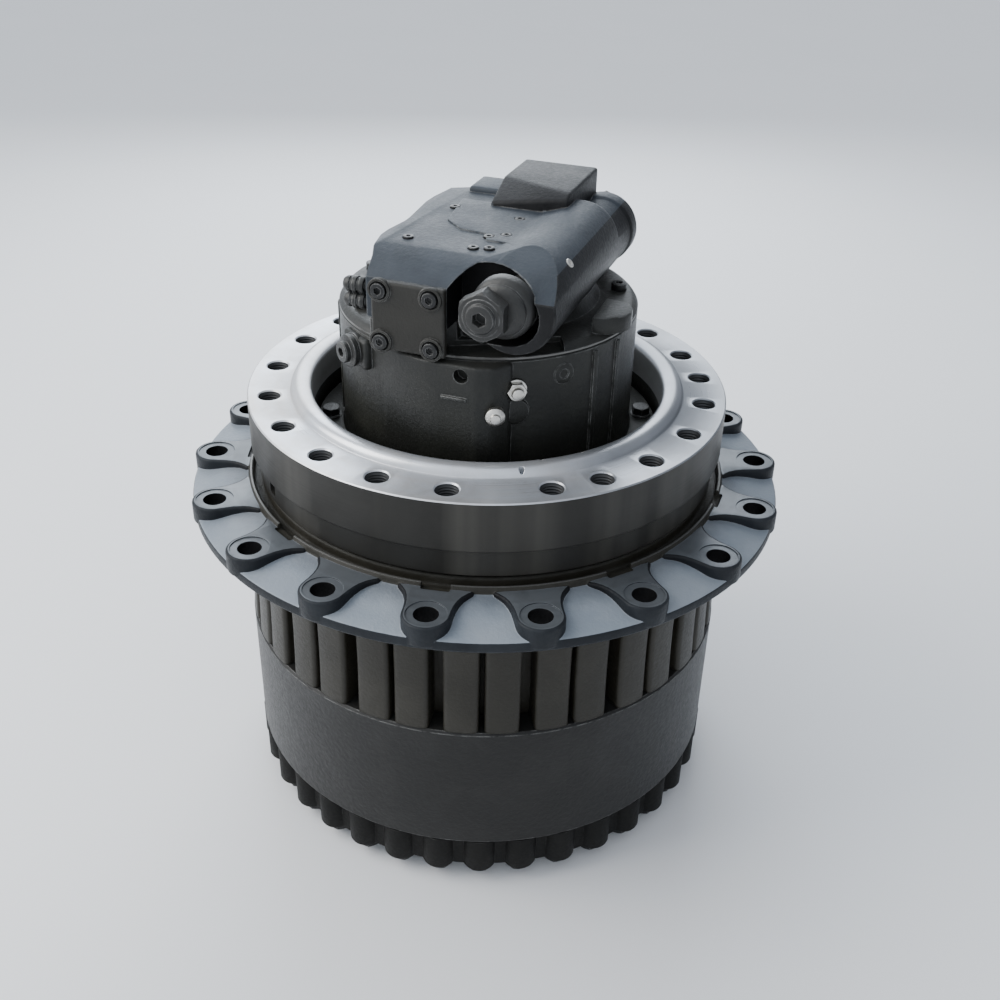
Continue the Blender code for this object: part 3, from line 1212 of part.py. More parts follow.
def make_brake():
    """Parking brake round the cylinder block: disc, plate, piston and spring."""
    outer = CASE_CAVITY_R * math.cos(math.pi / CASE_STEPS) - GAP
    inner = BLOCK_R + GAP * 3
    top = END_COVER_LOW - END_SPIGOT
    spring_low = top - BRAKE_SPRING_WALL
    piston_high = spring_low - GAP
    piston_low = piston_high - BRAKE_PISTON_LENGTH
    disc_high = piston_low - BRAKE_LIFT
    disc_low = disc_high - BRAKE_DISC_THICK
    plate_high = disc_low - END_PLAY
    disc = turned("brake_disc", ring_profile(BLOCK_R + GAP, outer - SEAT_OVERLAP / 2, disc_low,
                                             disc_high), BODY_STEPS)
    steel = turned("brake_plate", ring_profile(inner + SEAT_OVERLAP / 2, outer,
                                               plate_high - BRAKE_DISC_THICK, plate_high),
                   BODY_STEPS)
    piston = turned("brake_piston", ring_profile(inner + SEAT_OVERLAP, outer, piston_low,
                                                 piston_high), BODY_STEPS)
    spring = turned("brake_spring", [(outer - SEAT_OVERLAP, top - GAP),
                                     (outer - SEAT_OVERLAP, top - GAP - SEAL_BEVEL / 2),
                                     (inner + SEAT_OVERLAP, spring_low),
                                     (inner + SEAT_OVERLAP, spring_low + SEAL_BEVEL / 2)],
                    BODY_STEPS)
    for item in (disc, steel, piston, spring):
        gear_steel(item)


def main():
    global PARTS, TOOLS
    clear_scene()
    PARTS = new_collection("excavator_final_drive")
    TOOLS = new_collection("cutting_tools")
    make_cover()
    make_ring_gear()
    make_first_stage()
    make_second_stage()
    make_hub()
    make_bearing("front", FRONT_BEARING, -1)
    make_bearing("rear", REAR_BEARING, 1)
    make_seals()
    make_spindle()
    make_motor_case()
    make_end_cover()
    make_valve_block()
    make_counterbalance()
    make_front_plate()
    make_side_plugs()
    make_rotating_group()
    make_swash_plate()
    make_brake()


main()
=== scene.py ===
# %% [markdown]
# An excavator's final drive stands on its gear cover with the travel motor on top. The imported model
# already has every piece at its real size, so this script only gives the pieces their finished look.
# We start by loading that model; the box of an imported part later gives the height of the piece that
# takes its place.

# %% Load the frame
import math

import bpy
from mathutils import Matrix, Vector


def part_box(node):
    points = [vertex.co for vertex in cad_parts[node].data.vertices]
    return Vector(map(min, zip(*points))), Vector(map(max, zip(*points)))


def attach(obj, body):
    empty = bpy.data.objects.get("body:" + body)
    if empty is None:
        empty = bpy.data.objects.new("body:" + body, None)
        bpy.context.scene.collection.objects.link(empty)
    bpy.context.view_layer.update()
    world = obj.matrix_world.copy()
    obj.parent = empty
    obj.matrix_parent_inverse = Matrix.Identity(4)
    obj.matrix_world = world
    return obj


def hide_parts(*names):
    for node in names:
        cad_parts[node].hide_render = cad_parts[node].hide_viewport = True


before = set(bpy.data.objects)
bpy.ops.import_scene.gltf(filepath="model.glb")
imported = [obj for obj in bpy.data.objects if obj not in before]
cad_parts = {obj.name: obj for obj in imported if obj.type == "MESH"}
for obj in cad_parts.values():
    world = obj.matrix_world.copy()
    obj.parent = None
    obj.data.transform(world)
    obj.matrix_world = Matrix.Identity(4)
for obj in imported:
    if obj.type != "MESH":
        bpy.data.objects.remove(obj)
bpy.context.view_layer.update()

# %% [markdown]
# The photo was taken from a little over a metre away, looking down at about 31 degrees. A camera is
# easier to trust when it is built from those numbers than when it is pushed about by hand: first the
# turn round the drive, then the downward tilt, and last the small pan and roll of a hand-held shot.

# %% Camera
CAMERA_REACH = 1.0766
CAMERA_HEIGHT = 0.958
CAMERA_AZIMUTH = math.radians(20)
CAMERA_TILT = math.radians(31.389)
CAMERA_PAN = math.radians(0.698)
CAMERA_ROLL = math.radians(1.006)
CAMERA_LENS = 43.2

bpy.ops.object.select_all(action="DESELECT")
bpy.ops.object.camera_add()
camera = bpy.context.object
camera.name = "photo_camera"
camera.data.lens = CAMERA_LENS
camera.data.clip_start = 0.01
around = Matrix.Rotation(CAMERA_AZIMUTH, 4, "Z")
down = Matrix.Rotation(math.pi / 2 - CAMERA_TILT, 4, "X")
pan = Matrix.Rotation(-CAMERA_PAN, 4, "Y")
roll = Matrix.Rotation(CAMERA_ROLL, 4, "Z")
place = Matrix.Translation(around @ Vector((0, -CAMERA_REACH, CAMERA_HEIGHT)))
camera.matrix_world = place @ around @ down @ pan @ roll
bpy.context.scene.camera = camera

# %% [markdown]
# The sky and every paint are trees of shader nodes. These helpers add a node and wire it in one line,
# so that each tree below reads like a sum.

# %% Node helpers
def put(tree, kind, inputs=None, **settings):
    """Add a shader node; an input is either a number or colour, or the socket that feeds it."""
    node = tree.nodes.new("ShaderNode" + kind)
    for setting, value in settings.items():
        setattr(node, setting, value)
    for label, value in (inputs or {}).items():
        if isinstance(value, bpy.types.NodeSocket):
            tree.links.new(value, node.inputs[label])
        else:
            node.inputs[label].default_value = value
    return node


def sums(tree, operation, first, second, clamp=False):
    return put(tree, "Math", {0: first, 1: second}, operation=operation, use_clamp=clamp).outputs[0]


def times(tree, first, second, clamp=False):
    return sums(tree, "MULTIPLY", first, second, clamp)


def swing(tree, value, amount):
    """Turn a noise from 0 to 1 into one that goes as far below zero as above it."""
    return times(tree, sums(tree, "SUBTRACT", value, 0.5), amount)


def vector(tree, operation, first, second=(0, 0, 0), out="Vector"):
    return put(tree, "VectorMath", {0: first, 1: second}, operation=operation).outputs[out]


def noise(tree, place, scale, detail, roughness=0.5, **more):
    return put(tree, "TexNoise", {"Vector": place, "Scale": scale, "Detail": detail,
        "Roughness": roughness, **more}).outputs[0]


def ramp(tree, value, low, high, start=0.0, end=1.0, kind="LINEAR"):
    """Stretch the values between low and high to run from start to end."""
    return put(tree, "MapRange", {"Value": value, "From Min": low, "From Max": high,
        "To Min": start, "To Max": end}, interpolation_type=kind).outputs[0]


def mix_colour(tree, mask, first, second):
    return put(tree, "Mix", {0: mask, 6: first, 7: second}, data_type="RGBA",
        clamp_factor=True).outputs[2]


def object_place(tree):
    return put(tree, "TexCoord").outputs["Object"]


# %% [markdown]
# Dark paint shows its shape by what it reflects, so the studio is mostly large and soft. A pale sky
# gives the flange its light blue-grey sheen and dims towards the back right, which leaves that side
# of the drive in half shade. Big panels on the left and behind draw the bright side.

# %% Studio
SKY_COLOUR = (0.86, 0.92, 1.0)
DIM_COLOUR = (0.3, 0.32, 0.36)
DIM_SIDE = (0.8, 0.5, 0.33)
SKY_STRENGTH = 1.3
PANELS = (("left_panel", (-1.6, -0.9, 1.7), 1.6, 46, (1.0, 0.98, 0.95)),
    ("back_panel", (-0.8, 1.9, 1.5), 1.8, 44, (0.88, 0.94, 1.0)))
PANEL_AIM = Vector((0, 0, 0.35))

world = bpy.data.worlds.new("studio_sky")
bpy.context.scene.world = world
world.use_nodes = True
tree = world.node_tree
across = vector(tree, "DOT_PRODUCT", put(tree, "TexCoord").outputs["Generated"], DIM_SIDE, "Value")
fade = ramp(tree, across, 0.15, 0.85, kind="SMOOTHSTEP")
sky = tree.nodes["Background"].inputs
tree.links.new(mix_colour(tree, fade, (*SKY_COLOUR, 1), (*DIM_COLOUR, 1)), sky["Color"])
sky["Strength"].default_value = SKY_STRENGTH
for name, spot, side, power, colour in PANELS:
    bpy.ops.object.light_add(type="AREA", location=spot)
    panel = bpy.context.object
    panel.name = name
    panel.data.size = side
    panel.data.energy = power
    panel.data.color = colour
    panel.rotation_mode = "QUATERNION"
    panel.rotation_quaternion = (PANEL_AIM - Vector(spot)).to_track_quat("-Z", "Y")

# %% [markdown]
# A modeller at the screen selects, extrudes and bevels by hand. The helpers below do the same steps
# with Blender's own operators. An operator acts on everything that is selected, and the loaded model
# starts out selected, so each step first deselects it all.

# %% Modelling helpers
WELD = 0.00001
SMOOTH_ANGLE = math.radians(32)


def alone(*pieces):
    """Select only these pieces and make the first the active one."""
    bpy.ops.object.select_all(action="DESELECT")
    for piece in pieces:
        piece.select_set(True)
    if pieces:
        bpy.context.view_layer.objects.active = pieces[0]


def named(name):
    piece = bpy.context.object
    piece.name = name
    piece.data.name = name
    return piece


def edit(piece, *steps):
    """Open a piece in edit mode with all of it selected, run the steps, and close it again."""
    alone(piece)
    bpy.ops.object.mode_set(mode="EDIT")
    bpy.ops.mesh.select_all(action="SELECT")
    for step in steps:
        step()
    bpy.ops.object.mode_set(mode="OBJECT")


def tidy_mesh():
    bpy.ops.mesh.select_all(action="SELECT")
    bpy.ops.mesh.remove_doubles(threshold=WELD)
    bpy.ops.mesh.normals_make_consistent(inside=False)


def slice_off(point, direction):
    """Cut away what lies beyond a plane, and close the cut."""
    bpy.ops.mesh.bisect(plane_co=point, plane_no=direction, use_fill=True, clear_outer=True)
    tidy_mesh()


def use(piece, kind, **settings):
    """Add a modifier, give it its settings and apply it."""
    alone(piece)
    step = piece.modifiers.new(kind.lower(), kind)
    for setting, value in settings.items():
        setattr(step, setting, value)
    bpy.ops.object.modifier_apply(modifier=step.name)
    return piece


def round_edges(piece, width, segments=2, angle=32):
    return use(piece, "BEVEL", width=width, segments=segments, limit_method="ANGLE",
        angle_limit=math.radians(angle))


def combine(piece, tool, operation):
    use(piece, "BOOLEAN", object=tool, operation=operation, solver="EXACT")
    bpy.data.objects.remove(tool, do_unlink=True)


def add_to(piece, *tools):
    for tool in tools:
        print(piece.name, "takes", tool.name)
        combine(piece, tool, "UNION")


def cut_from(piece, tool):
    combine(piece, tool, "DIFFERENCE")


def settle(piece):
    """Put the origin at the world's centre and keep the shape where it is."""
    alone(piece)
    bpy.ops.object.transform_apply(location=True, rotation=True, scale=True)
    return piece

# %% [markdown]
# Most shapes start as a line. One vertex is extruded from point to point, and then the line is either
# spun about Z, like a pot on a wheel, or closed to a face and pulled up, like a sketch.

# %% Drawing helpers
def drawn(name, points, make_solid):
    alone()
    bpy.ops.mesh.primitive_plane_add(size=0.001)
    piece = named(name)

    def draw():
        bpy.ops.mesh.merge(type="CENTER")
        bpy.ops.transform.translate(value=points[0])
        for here, there in zip(points, points[1:]):
            step = tuple(end - start for start, end in zip(here, there))
            bpy.ops.mesh.extrude_region_move(TRANSFORM_OT_translate={"value": step})
        bpy.ops.mesh.select_all(action="SELECT")
        make_solid()
        tidy_mesh()

    edit(piece, draw)
    return piece


def turned(name, profile, steps):
    """Spin a line of (radius, height) points about Z. One that starts off the axis makes a ring."""
    points = [(radius, 0, height) for radius, height in profile]
    if profile[0][0] > 0:
        points.append(points[0])
    return drawn(name, points, lambda: bpy.ops.mesh.spin(steps=steps, angle=2 * math.pi,
        center=(0, 0, 0), axis=(0, 0, 1)))


def sketch(name, outline, low, high, soft=0.0, segments=2, angle=32):
    """Fill an outline of (x, y) points and pull it up from one height to another."""
    def pull_up():
        bpy.ops.mesh.edge_face_add()
        bpy.ops.mesh.extrude_region_move(TRANSFORM_OT_translate={"value": (0, 0, high - low)})

    piece = drawn(name, [(x, y, low) for x, y in outline], pull_up)
    if soft:
        round_edges(piece, soft, segments, angle)
    return piece


def rod(name, radius, length, spot=(0, 0, 0), sides=32, chamfer=0.0, along="Z"):
    """A round bar with softened ends; its middle is at the spot."""
    turn = {"Z": (0, 0, 0), "Y": (math.pi / 2, 0, 0)}[along]
    alone()
    bpy.ops.mesh.primitive_cylinder_add(vertices=sides, radius=radius, depth=length, location=spot,
        rotation=turn)
    piece = settle(named(name))
    if chamfer:
        round_edges(piece, chamfer, angle=50)
    return piece


def block(name, low, high, soft=0.0, segments=2):
    """A box between two corners, with its edges rounded."""
    low, high = Vector(low), Vector(high)
    alone()
    bpy.ops.mesh.primitive_cube_add(size=1, location=(low + high) / 2, scale=high - low)
    piece = settle(named(name))
    if soft:
        round_edges(piece, soft, segments)
    return piece

# %% [markdown]
# A drive is full of things that stand in a circle, so a piece is often made once and then copied to
# every place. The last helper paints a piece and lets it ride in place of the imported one.

# %% Placing helpers
def moved(piece, move):
    piece.data.transform(move)
    return piece


def shifted(piece, x, y, z=0.0):
    return moved(piece, Matrix.Translation((x, y, z)))


def swung(piece, degrees):
    """Turn a piece about the drive's axis."""
    return moved(piece, Matrix.Rotation(math.radians(degrees), 4, "Z"))


def along_barrel(piece, x, y, z, side):
    """Lay a piece that stands on Z along Y: side -1 looks to the front, 1 to the back."""
    return moved(piece, Matrix.Translation((x, y, z))
        @ Matrix.Rotation(-side * math.pi / 2, 4, "X"))


def radial(piece, degrees, reach, z):
    """Lay a piece that stands on Z so that it points away from the case."""
    return moved(piece, Matrix.Translation((0, 0, z))
        @ Matrix.Rotation(math.radians(degrees), 4, "Z") @ Matrix.Translation((reach, 0, 0))
        @ Matrix.Rotation(math.pi / 2, 4, "Y"))


def joined(pieces, name):
    alone(*pieces)
    if len(pieces) > 1:
        bpy.ops.object.join()
    return named(name)


def copies(piece, moves, name):
    """Copy a piece to each place and join the copies; the first piece itself is used up."""
    made = []
    for move in moves:
        copy = piece.copy()
        copy.data = piece.data.copy()
        copy.data.transform(move)
        bpy.context.scene.collection.objects.link(copy)
        made.append(copy)
    bpy.data.objects.remove(piece, do_unlink=True)
    return joined(made, name)


def turns(count, start=0.0):
    """The moves that set a piece round the drive's axis, evenly spaced."""
    return [Matrix.Rotation(start + 2 * math.pi * i / count, 4, "Z") for i in range(count)]


def at_azimuths(degrees):
    return [Matrix.Rotation(math.radians(angle), 4, "Z") for angle in degrees]


def finish(piece, materials, nodes=(), body="root", pick=None):
    """Smooth a piece, paint it, and make it ride in place of its nodes."""
    settle(piece)
    bpy.ops.object.shade_smooth_by_angle(angle=SMOOTH_ANGLE)
    piece.data.materials.clear()
    for material in materials:
        piece.data.materials.append(material)
    if pick:
        for face in piece.data.polygons:
            face.material_index = pick(face)
    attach(piece, body)
    if nodes:
        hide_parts(*nodes)
    print(piece.name, "has", len(piece.data.polygons), "faces")

# %% [markdown]
# Screws look alike all over the drive. A hexagon's corners are cut by a cone, as on any machined nut.

# %% Screws
def cone_corners(head, profile, steps):
    combine(head, turned("corner_cone", profile, steps), "INTERSECT")
    return head


def hex_bolt(name, size, height, washer, low, up=1):
    """A hexagon head that stands on its washer face."""
    head = cone_corners(rod(name, size, height, (0, 0, low + up * height / 2), sides=6),
        [(0, low - up * 0.001), (size * 1.3, low - up * 0.001), (size * 1.3,
        low + up * height * 0.62), (size * 0.86, low + up * height), (0, low + up * height)], 24)
    base = rod("washer_face", washer, height * 0.16, (0, 0, low + up * height * 0.08), sides=28,
        chamfer=height * 0.04)
    return joined([head, base], name)


def hexagon_step(size, low, high):
    """A chamfered hexagon that stands on Z between two heights."""
    return cone_corners(rod("hexagon", size, high - low, (0, 0, (low + high) / 2), sides=6),
        [(0, low - 0.002), (size * 1.2, low - 0.002), (size * 1.2, high - size * 0.24),
        (size * 0.88, high + 0.0002), (0, high + 0.0002)], 48)


def socket_bolt(name, size, height, low):
    """A cap screw: a round head with a six-sided socket."""
    head = rod(name, size, height, (0, 0, low + height / 2), sides=28, chamfer=height * 0.12)
    cut_from(head, rod("socket", size * 0.52, height, (0, 0, low + height), sides=6))
    return head

# %% [markdown]
# Every finish here is a base coat with the same few things on top: casting grain, dust on what faces
# up, stains, and bare metal along the edges. Each of these is a small node group that puts out a mask
# or a height, so one effect is built once and each paint takes it with its own numbers.

# %% Effects
def effect(name, **sliders):
    """An empty node group with number inputs, and the sockets that bring those numbers in."""
    group = bpy.data.node_groups.new(name, "ShaderNodeTree")
    for label, value in sliders.items():
        socket = group.interface.new_socket(name=label, in_out="INPUT",
            socket_type="NodeSocketFloat")
        socket.default_value = value
    return group, group.nodes.new("NodeGroupInput").outputs


def give(group, **values):
    """Make one output of the group for each value."""
    for label in values:
        group.interface.new_socket(name=label, in_out="OUTPUT", socket_type="NodeSocketFloat")
    end = group.nodes.new("NodeGroupOutput")
    for label, value in values.items():
        group.links.new(value, end.inputs[label])
    return group


def apply_effect(tree, group, **sliders):
    node = tree.nodes.new("ShaderNodeGroup")
    node.node_tree = group
    for label, value in sliders.items():
        node.inputs[label].default_value = value
    return node.outputs


# %% [markdown]
# Paint wears off where a part is handled, and that is along its edges. A Bevel node gives the normal
# of an edge as if it were rounded; where that differs from the true normal there is an edge, and a
# noise breaks the line up so that it looks rubbed instead of drawn. On the drum the same mask also
# paints a highlight line along the chamfers.

# %% Edge wear, and a painted highlight on the drum
tree, given = effect("edge_wear_and_highlight", Width=0.001, Patches=90.0)
soft = put(tree, "Bevel", {"Radius": given["Width"]}, samples=4).outputs[0]
true = put(tree, "NewGeometry").outputs["Normal"]
alike = vector(tree, "DOT_PRODUCT", soft, true, "Value")
sharp = times(tree, sums(tree, "SUBTRACT", 1.0, alike), 9.0, clamp=True)
rubbed = noise(tree, object_place(tree), given["Patches"], 5.0, 0.65)
edge_wear_and_highlight = give(tree, Mask=times(tree, sharp, ramp(tree, rubbed, 0.38, 0.62), clamp=True))

# %% [markdown]
# Sand leaves a fine pebbled skin on cast iron, and thick paint rounds it off. Two noises of different
# size make that skin. Their sum is the height, and the coarse one alone shades the colour a little.

# %% Casting grain and stains
tree, given = effect("cast_grain", Scale=300.0)
place = object_place(tree)
coarse = noise(tree, place, given["Scale"], 3.0)
fine = noise(tree, place, times(tree, given["Scale"], 4.0), 2.0, 0.7)
cast_grain = give(tree, Height=sums(tree, "ADD", coarse, times(tree, fine, 0.35)), Shade=coarse)

tree, given = effect("stains", Scale=14.0, Low=0.45, High=0.65)
blot = noise(tree, object_place(tree), given["Scale"], 6.0, 0.6, Distortion=0.4)
stains = give(tree, Mask=ramp(tree, blot, given["Low"], given["High"]))

# %% [markdown]
# Dust lies on what faces up. The height of the surface normal says how level a place is, so it is
# the mask for dust, and a coarse noise keeps the dust from lying as an even coat.

# %% Settled dust
tree, given = effect("settled_dust", Scale=30.0, Level=0.35)
upward = put(tree, "SeparateXYZ", {0: put(tree, "NewGeometry").outputs["Normal"]}).outputs["Z"]
drift = noise(tree, object_place(tree), given["Scale"], 5.0, 0.6)
settled_dust = give(tree, Mask=times(tree, ramp(tree, upward, given["Level"], 1.0),
    ramp(tree, drift, 0.3, 0.7, 0.35)))

# %% [markdown]
# A lathe leaves rings that are as fine as a record's groove. They are the same all the way round, so
# one noise that reads only the distance from the shaft axis, and the height, draws them on faces and
# on sides alike.

# %% Turning marks
tree, given = effect("turning_marks", Fineness=900.0)
place = object_place(tree)
from_axis = vector(tree, "LENGTH", vector(tree, "MULTIPLY", place, (1, 1, 0)), out="Value")
height = put(tree, "SeparateXYZ", {0: place}).outputs["Z"]
groove = sums(tree, "ADD", from_axis, height)
rings = put(tree, "TexNoise", {"W": groove, "Detail": 4.0, "Roughness": 0.7,
    "Scale": given["Fineness"]}, noise_dimensions="1D")
wide_rings = put(tree, "TexNoise", {"W": groove, "Detail": 1.0,
    "Scale": times(tree, given["Fineness"], 0.12)}, noise_dimensions="1D")
turning_marks = give(tree, Height=rings.outputs[0], Shade=wide_rings.outputs[0])

# %% [markdown]
# The frame flange casts a shadow on the bosses next to the neck, and this is painted in as a near-black
# colour.
# The mask for it falls with the distance from the shaft axis, and a noise frays its edge.

# %% Painted shadow round the neck
tree, given = effect("neck_shadow", Inner=0.238, Outer=0.27)
place = object_place(tree)
from_axis = vector(tree, "LENGTH", vector(tree, "MULTIPLY", place, (1, 1, 0)), out="Value")
frayed = sums(tree, "ADD", from_axis, swing(tree, noise(tree, place, 60.0, 4.0), 0.014))
neck_shadow = give(tree, Mask=ramp(tree, frayed, given["Inner"], given["Outer"], 1.0, 0.0,
    "SMOOTHSTEP"))

# %% [markdown]
# The flange's side is painted with upright bands of lighter tone, as painted highlights of what it
# reflects.
# A noise that reads only the direction from the axis draws such bands.

# %% Painted upright highlights
tree, given = effect("side_highlights", Scale=2.6)
outward = vector(tree, "NORMALIZE", vector(tree, "MULTIPLY", object_place(tree), (1, 1, 0)))
side_highlights = give(tree, Mask=ramp(tree, noise(tree, outward, given["Scale"], 4.0, 0.55), 0.46, 0.6))

# %% [markdown]
# The flange's ground face is painted darker on one side, as painted shade where it takes less light.
# This mask grows across the piece in one direction, and a coarse noise breaks up its edge.

# %% Painted shade on one side
tree, given = effect("right_side_shade", From=-0.02, To=0.2)
place = object_place(tree)
across_piece = vector(tree, "DOT_PRODUCT", place, (0.94, 0.34, 0.0), "Value")
broken = sums(tree, "ADD", across_piece, swing(tree, noise(tree, place, 14.0, 4.0), 0.12))
right_side_shade = give(tree, Mask=ramp(tree, broken, given["From"], given["To"], kind="SMOOTHSTEP"))

# %% [markdown]
# Paint on a casting is built up in the order in which it happened: the paint, the stains, the dust and
# last the rubbed edges. The rounded normal goes under the grain, so that no edge is knife sharp.

# %% Painted iron
# Near black for the painted shadow of the frame flange next to the neck.
NECK_SHADOW_COLOUR = (0.006, 0.006, 0.007, 1)


def new_material(name):
    material = bpy.data.materials.new(name)
    material.use_nodes = True
    return material, material.node_tree, material.node_tree.nodes["Principled BSDF"].inputs


def surface(tree, shader, colour, roughness, height, edge, distance, strength, metallic, shine):
    """Feed the shader its colour, roughness and relief; the plain numbers sit on its own sockets."""
    rounded = put(tree, "Bevel", {"Radius": edge}, samples=4).outputs[0]
    bump = put(tree, "Bump", {"Height": height, "Normal": rounded, "Distance": distance,
        "Strength": strength})
    for socket, label in ((colour, "Base Color"), (roughness, "Roughness"),
            (bump.outputs[0], "Normal")):
        tree.links.new(socket, shader[label])
    shader["Metallic"].default_value = metallic
    shader["Specular IOR Level"].default_value = shine


def painted(name, colour, pale, rough, dust=0.25, dust_colour=(0.2, 0.2, 0.19), wear=0.5,
        bare=(0.34, 0.34, 0.33), edge=0.0012, grain=300.0, metallic=0.0, shine=0.5, neck_shadow_share=0.0):
    """A painted casting. Colours are linear; wear, dust and the painted neck shadow say how much of
    each shows.
    """
    paint, tree, shader = new_material(name)
    skin = apply_effect(tree, cast_grain, Scale=grain)
    film = apply_effect(tree, settled_dust)[0]
    coat = (*colour, 1)
    for mask, share, layer in ((apply_effect(tree, stains, Scale=16.0)[0], 0.5, pale),
            (film, dust, dust_colour), (apply_effect(tree, edge_wear_and_highlight, Width=edge)[0], wear, bare)):
        coat = mix_colour(tree, times(tree, mask, share), coat, (*layer, 1))
    # Darken next to the neck: the painted shadow of the frame flange.
    if neck_shadow_share:
        coat = mix_colour(tree, times(tree, apply_effect(tree, neck_shadow)[0], neck_shadow_share), coat, NECK_SHADOW_COLOUR)
    grainy = sums(tree, "ADD", swing(tree, skin["Shade"], 0.25), rough)
    dull = sums(tree, "ADD", grainy, times(tree, film, dust * 0.5), clamp=True)
    surface(tree, shader, coat, dull, skin["Height"], edge, 0.0012, 0.35, metallic, shine)
    return paint


# Its strong edge wear is partly wear and partly a painted highlight line along the drum's chamfers.
drum_paint = painted("drum_paint", (0.01, 0.0097, 0.0092), (0.019, 0.0185, 0.0175), 0.42, dust=0.1,
    dust_colour=(0.1, 0.1, 0.095), wear=0.9, bare=(0.3, 0.3, 0.29), grain=220.0, shine=0.26,
    edge=0.0016)
# The gear cover is painted darker than the drum, as painted shade on the low cover.
cover_shade_paint = painted("cover_shade_paint", (0.007, 0.0068, 0.0062), (0.012, 0.0115, 0.0105), 0.6,
    dust=0.05, wear=0.12, shine=0.15)
column_paint = painted("column_paint", (0.018, 0.0162, 0.0116), (0.031, 0.028, 0.0215), 0.45,
    dust=0.2, dust_colour=(0.08, 0.08, 0.07), wear=0.25, bare=(0.09, 0.09, 0.08), edge=0.004,
    shine=0.28)
# The flange between the bosses is painted light blue-grey as a painted sheen of the sky, and the bosses
# take a dark copy of the same paint; both take the painted shadow next to the neck.
flange_sheen_paint = painted("flange_sheen_paint", (0.19, 0.226, 0.268), (0.28, 0.31, 0.34), 0.3, dust=0.25,
    dust_colour=(0.34, 0.36, 0.38), wear=0.5, bare=(0.5, 0.52, 0.54), edge=0.002, neck_shadow_share=0.5)
boss_shade_paint = painted("boss_shade_paint", (0.012, 0.014, 0.017), (0.026, 0.03, 0.035), 0.42, dust=0.08,
    dust_colour=(0.05, 0.055, 0.06), wear=0.35, bare=(0.16, 0.18, 0.2), edge=0.002, shine=0.17,
    neck_shadow_share=0.95)
case_paint = painted("case_paint", (0.011, 0.0112, 0.0095), (0.026, 0.0262, 0.0205), 0.4, dust=0.3,
    dust_colour=(0.07, 0.07, 0.065), wear=0.6, edge=0.0015, shine=0.35)
block_paint = painted("block_paint", (0.023, 0.0285, 0.036), (0.048, 0.057, 0.069), 0.4, dust=0.4,
    dust_colour=(0.08, 0.094, 0.112), wear=0.6, edge=0.0018, shine=0.22)
# A darker copy of the block's paint: painted shade on the barrel's lower side and front and on the port
# boss.
block_shade_paint = painted("block_shade_paint", (0.012, 0.012, 0.0125), (0.025, 0.025, 0.0262), 0.44,
    dust=0.25, dust_colour=(0.045, 0.047, 0.052), wear=0.5, edge=0.0018, shine=0.14)
plate_paint = painted("plate_paint", (0.019, 0.018, 0.015), (0.03, 0.0285, 0.024), 0.46, dust=0.2,
    dust_colour=(0.07, 0.07, 0.065), wear=0.6, shine=0.28)
cap_paint = painted("cap_paint", (0.024, 0.024, 0.023), (0.046, 0.045, 0.043), 0.34, dust=0.25,
    wear=0.75, metallic=0.3, grain=420.0, shine=0.4)
black_bolt = painted("black_bolt", (0.009, 0.009, 0.0095), (0.018, 0.018, 0.017), 0.34, dust=0.12,
    wear=0.7, grain=500.0, metallic=0.2, shine=0.4)
# Near black for holes, ports and the deep recess: painted shade inside them.
hole_shade = painted("hole_shade", (0.004, 0.004, 0.0045), (0.008, 0.008, 0.008), 0.6, dust=0.02,
    wear=0.1, shine=0.1)

# %% [markdown]
# Bare steel is bright only where it reflects something, and machining gives that reflection its
# grain. This metal takes its rings from the turning marks and its warmer patches from the stains.

# %% Bare metal
def machined(name, colour, tint, rough, fineness=900.0, strength=0.12, metallic=1.0, shine=0.5,
        highlight_share=0.0, side_shade_share=0.0):
    """A turned or ground metal; highlight_share and side_shade_share say how much painted highlight and
    painted shade show.
    """
    metal, tree, shader = new_material(name)
    marks = apply_effect(tree, turning_marks, Fineness=fineness)
    blots = apply_effect(tree, stains, Scale=9.0, Low=0.4, High=0.75)[0]
    patches = apply_effect(tree, stains, Scale=48.0, Low=0.5, High=0.8)[0]
    blend = sums(tree, "ADD", times(tree, blots, 0.5), times(tree, marks["Shade"], 0.35),
        clamp=True)
    coat = mix_colour(tree, blend, (*colour, 1), (*tint, 1))
    spots = [(patches, 0.35, tint, 0.55)]
    if highlight_share:
        spots.append((apply_effect(tree, side_highlights)[0], highlight_share, colour, 3.2))
    if side_shade_share:
        spots.append((apply_effect(tree, right_side_shade)[0], side_shade_share, colour, 0.3))
    for mask, share, base, brightness in spots:
        shade = tuple(brightness * part for part in base)
        coat = mix_colour(tree, times(tree, mask, share), coat, (*shade, 1))
    uneven = sums(tree, "ADD", times(tree, blots, 0.16), swing(tree, marks["Height"], 0.18))
    dull = sums(tree, "ADD", uneven, rough, clamp=True)
    surface(tree, shader, coat, dull, marks["Height"], 0.0008, 0.0004, strength, metallic, shine)
    return metal


# The ground face takes painted shade on its right side.
bright_face = machined("bright_face", (0.66, 0.7, 0.76), (0.6, 0.56, 0.515), 0.3, metallic=0.7,
    side_shade_share=0.85)
# Lighter steel on the rims of the neck and the end cover, partly bare metal and partly a painted
# highlight line.
rim_highlight_steel = machined("rim_highlight_steel", (0.17, 0.17, 0.165), (0.1, 0.095, 0.085), 0.34, metallic=0.6)
bore_steel = machined("bore_steel", (0.46, 0.47, 0.48), (0.3, 0.29, 0.27), 0.32, metallic=0.6)
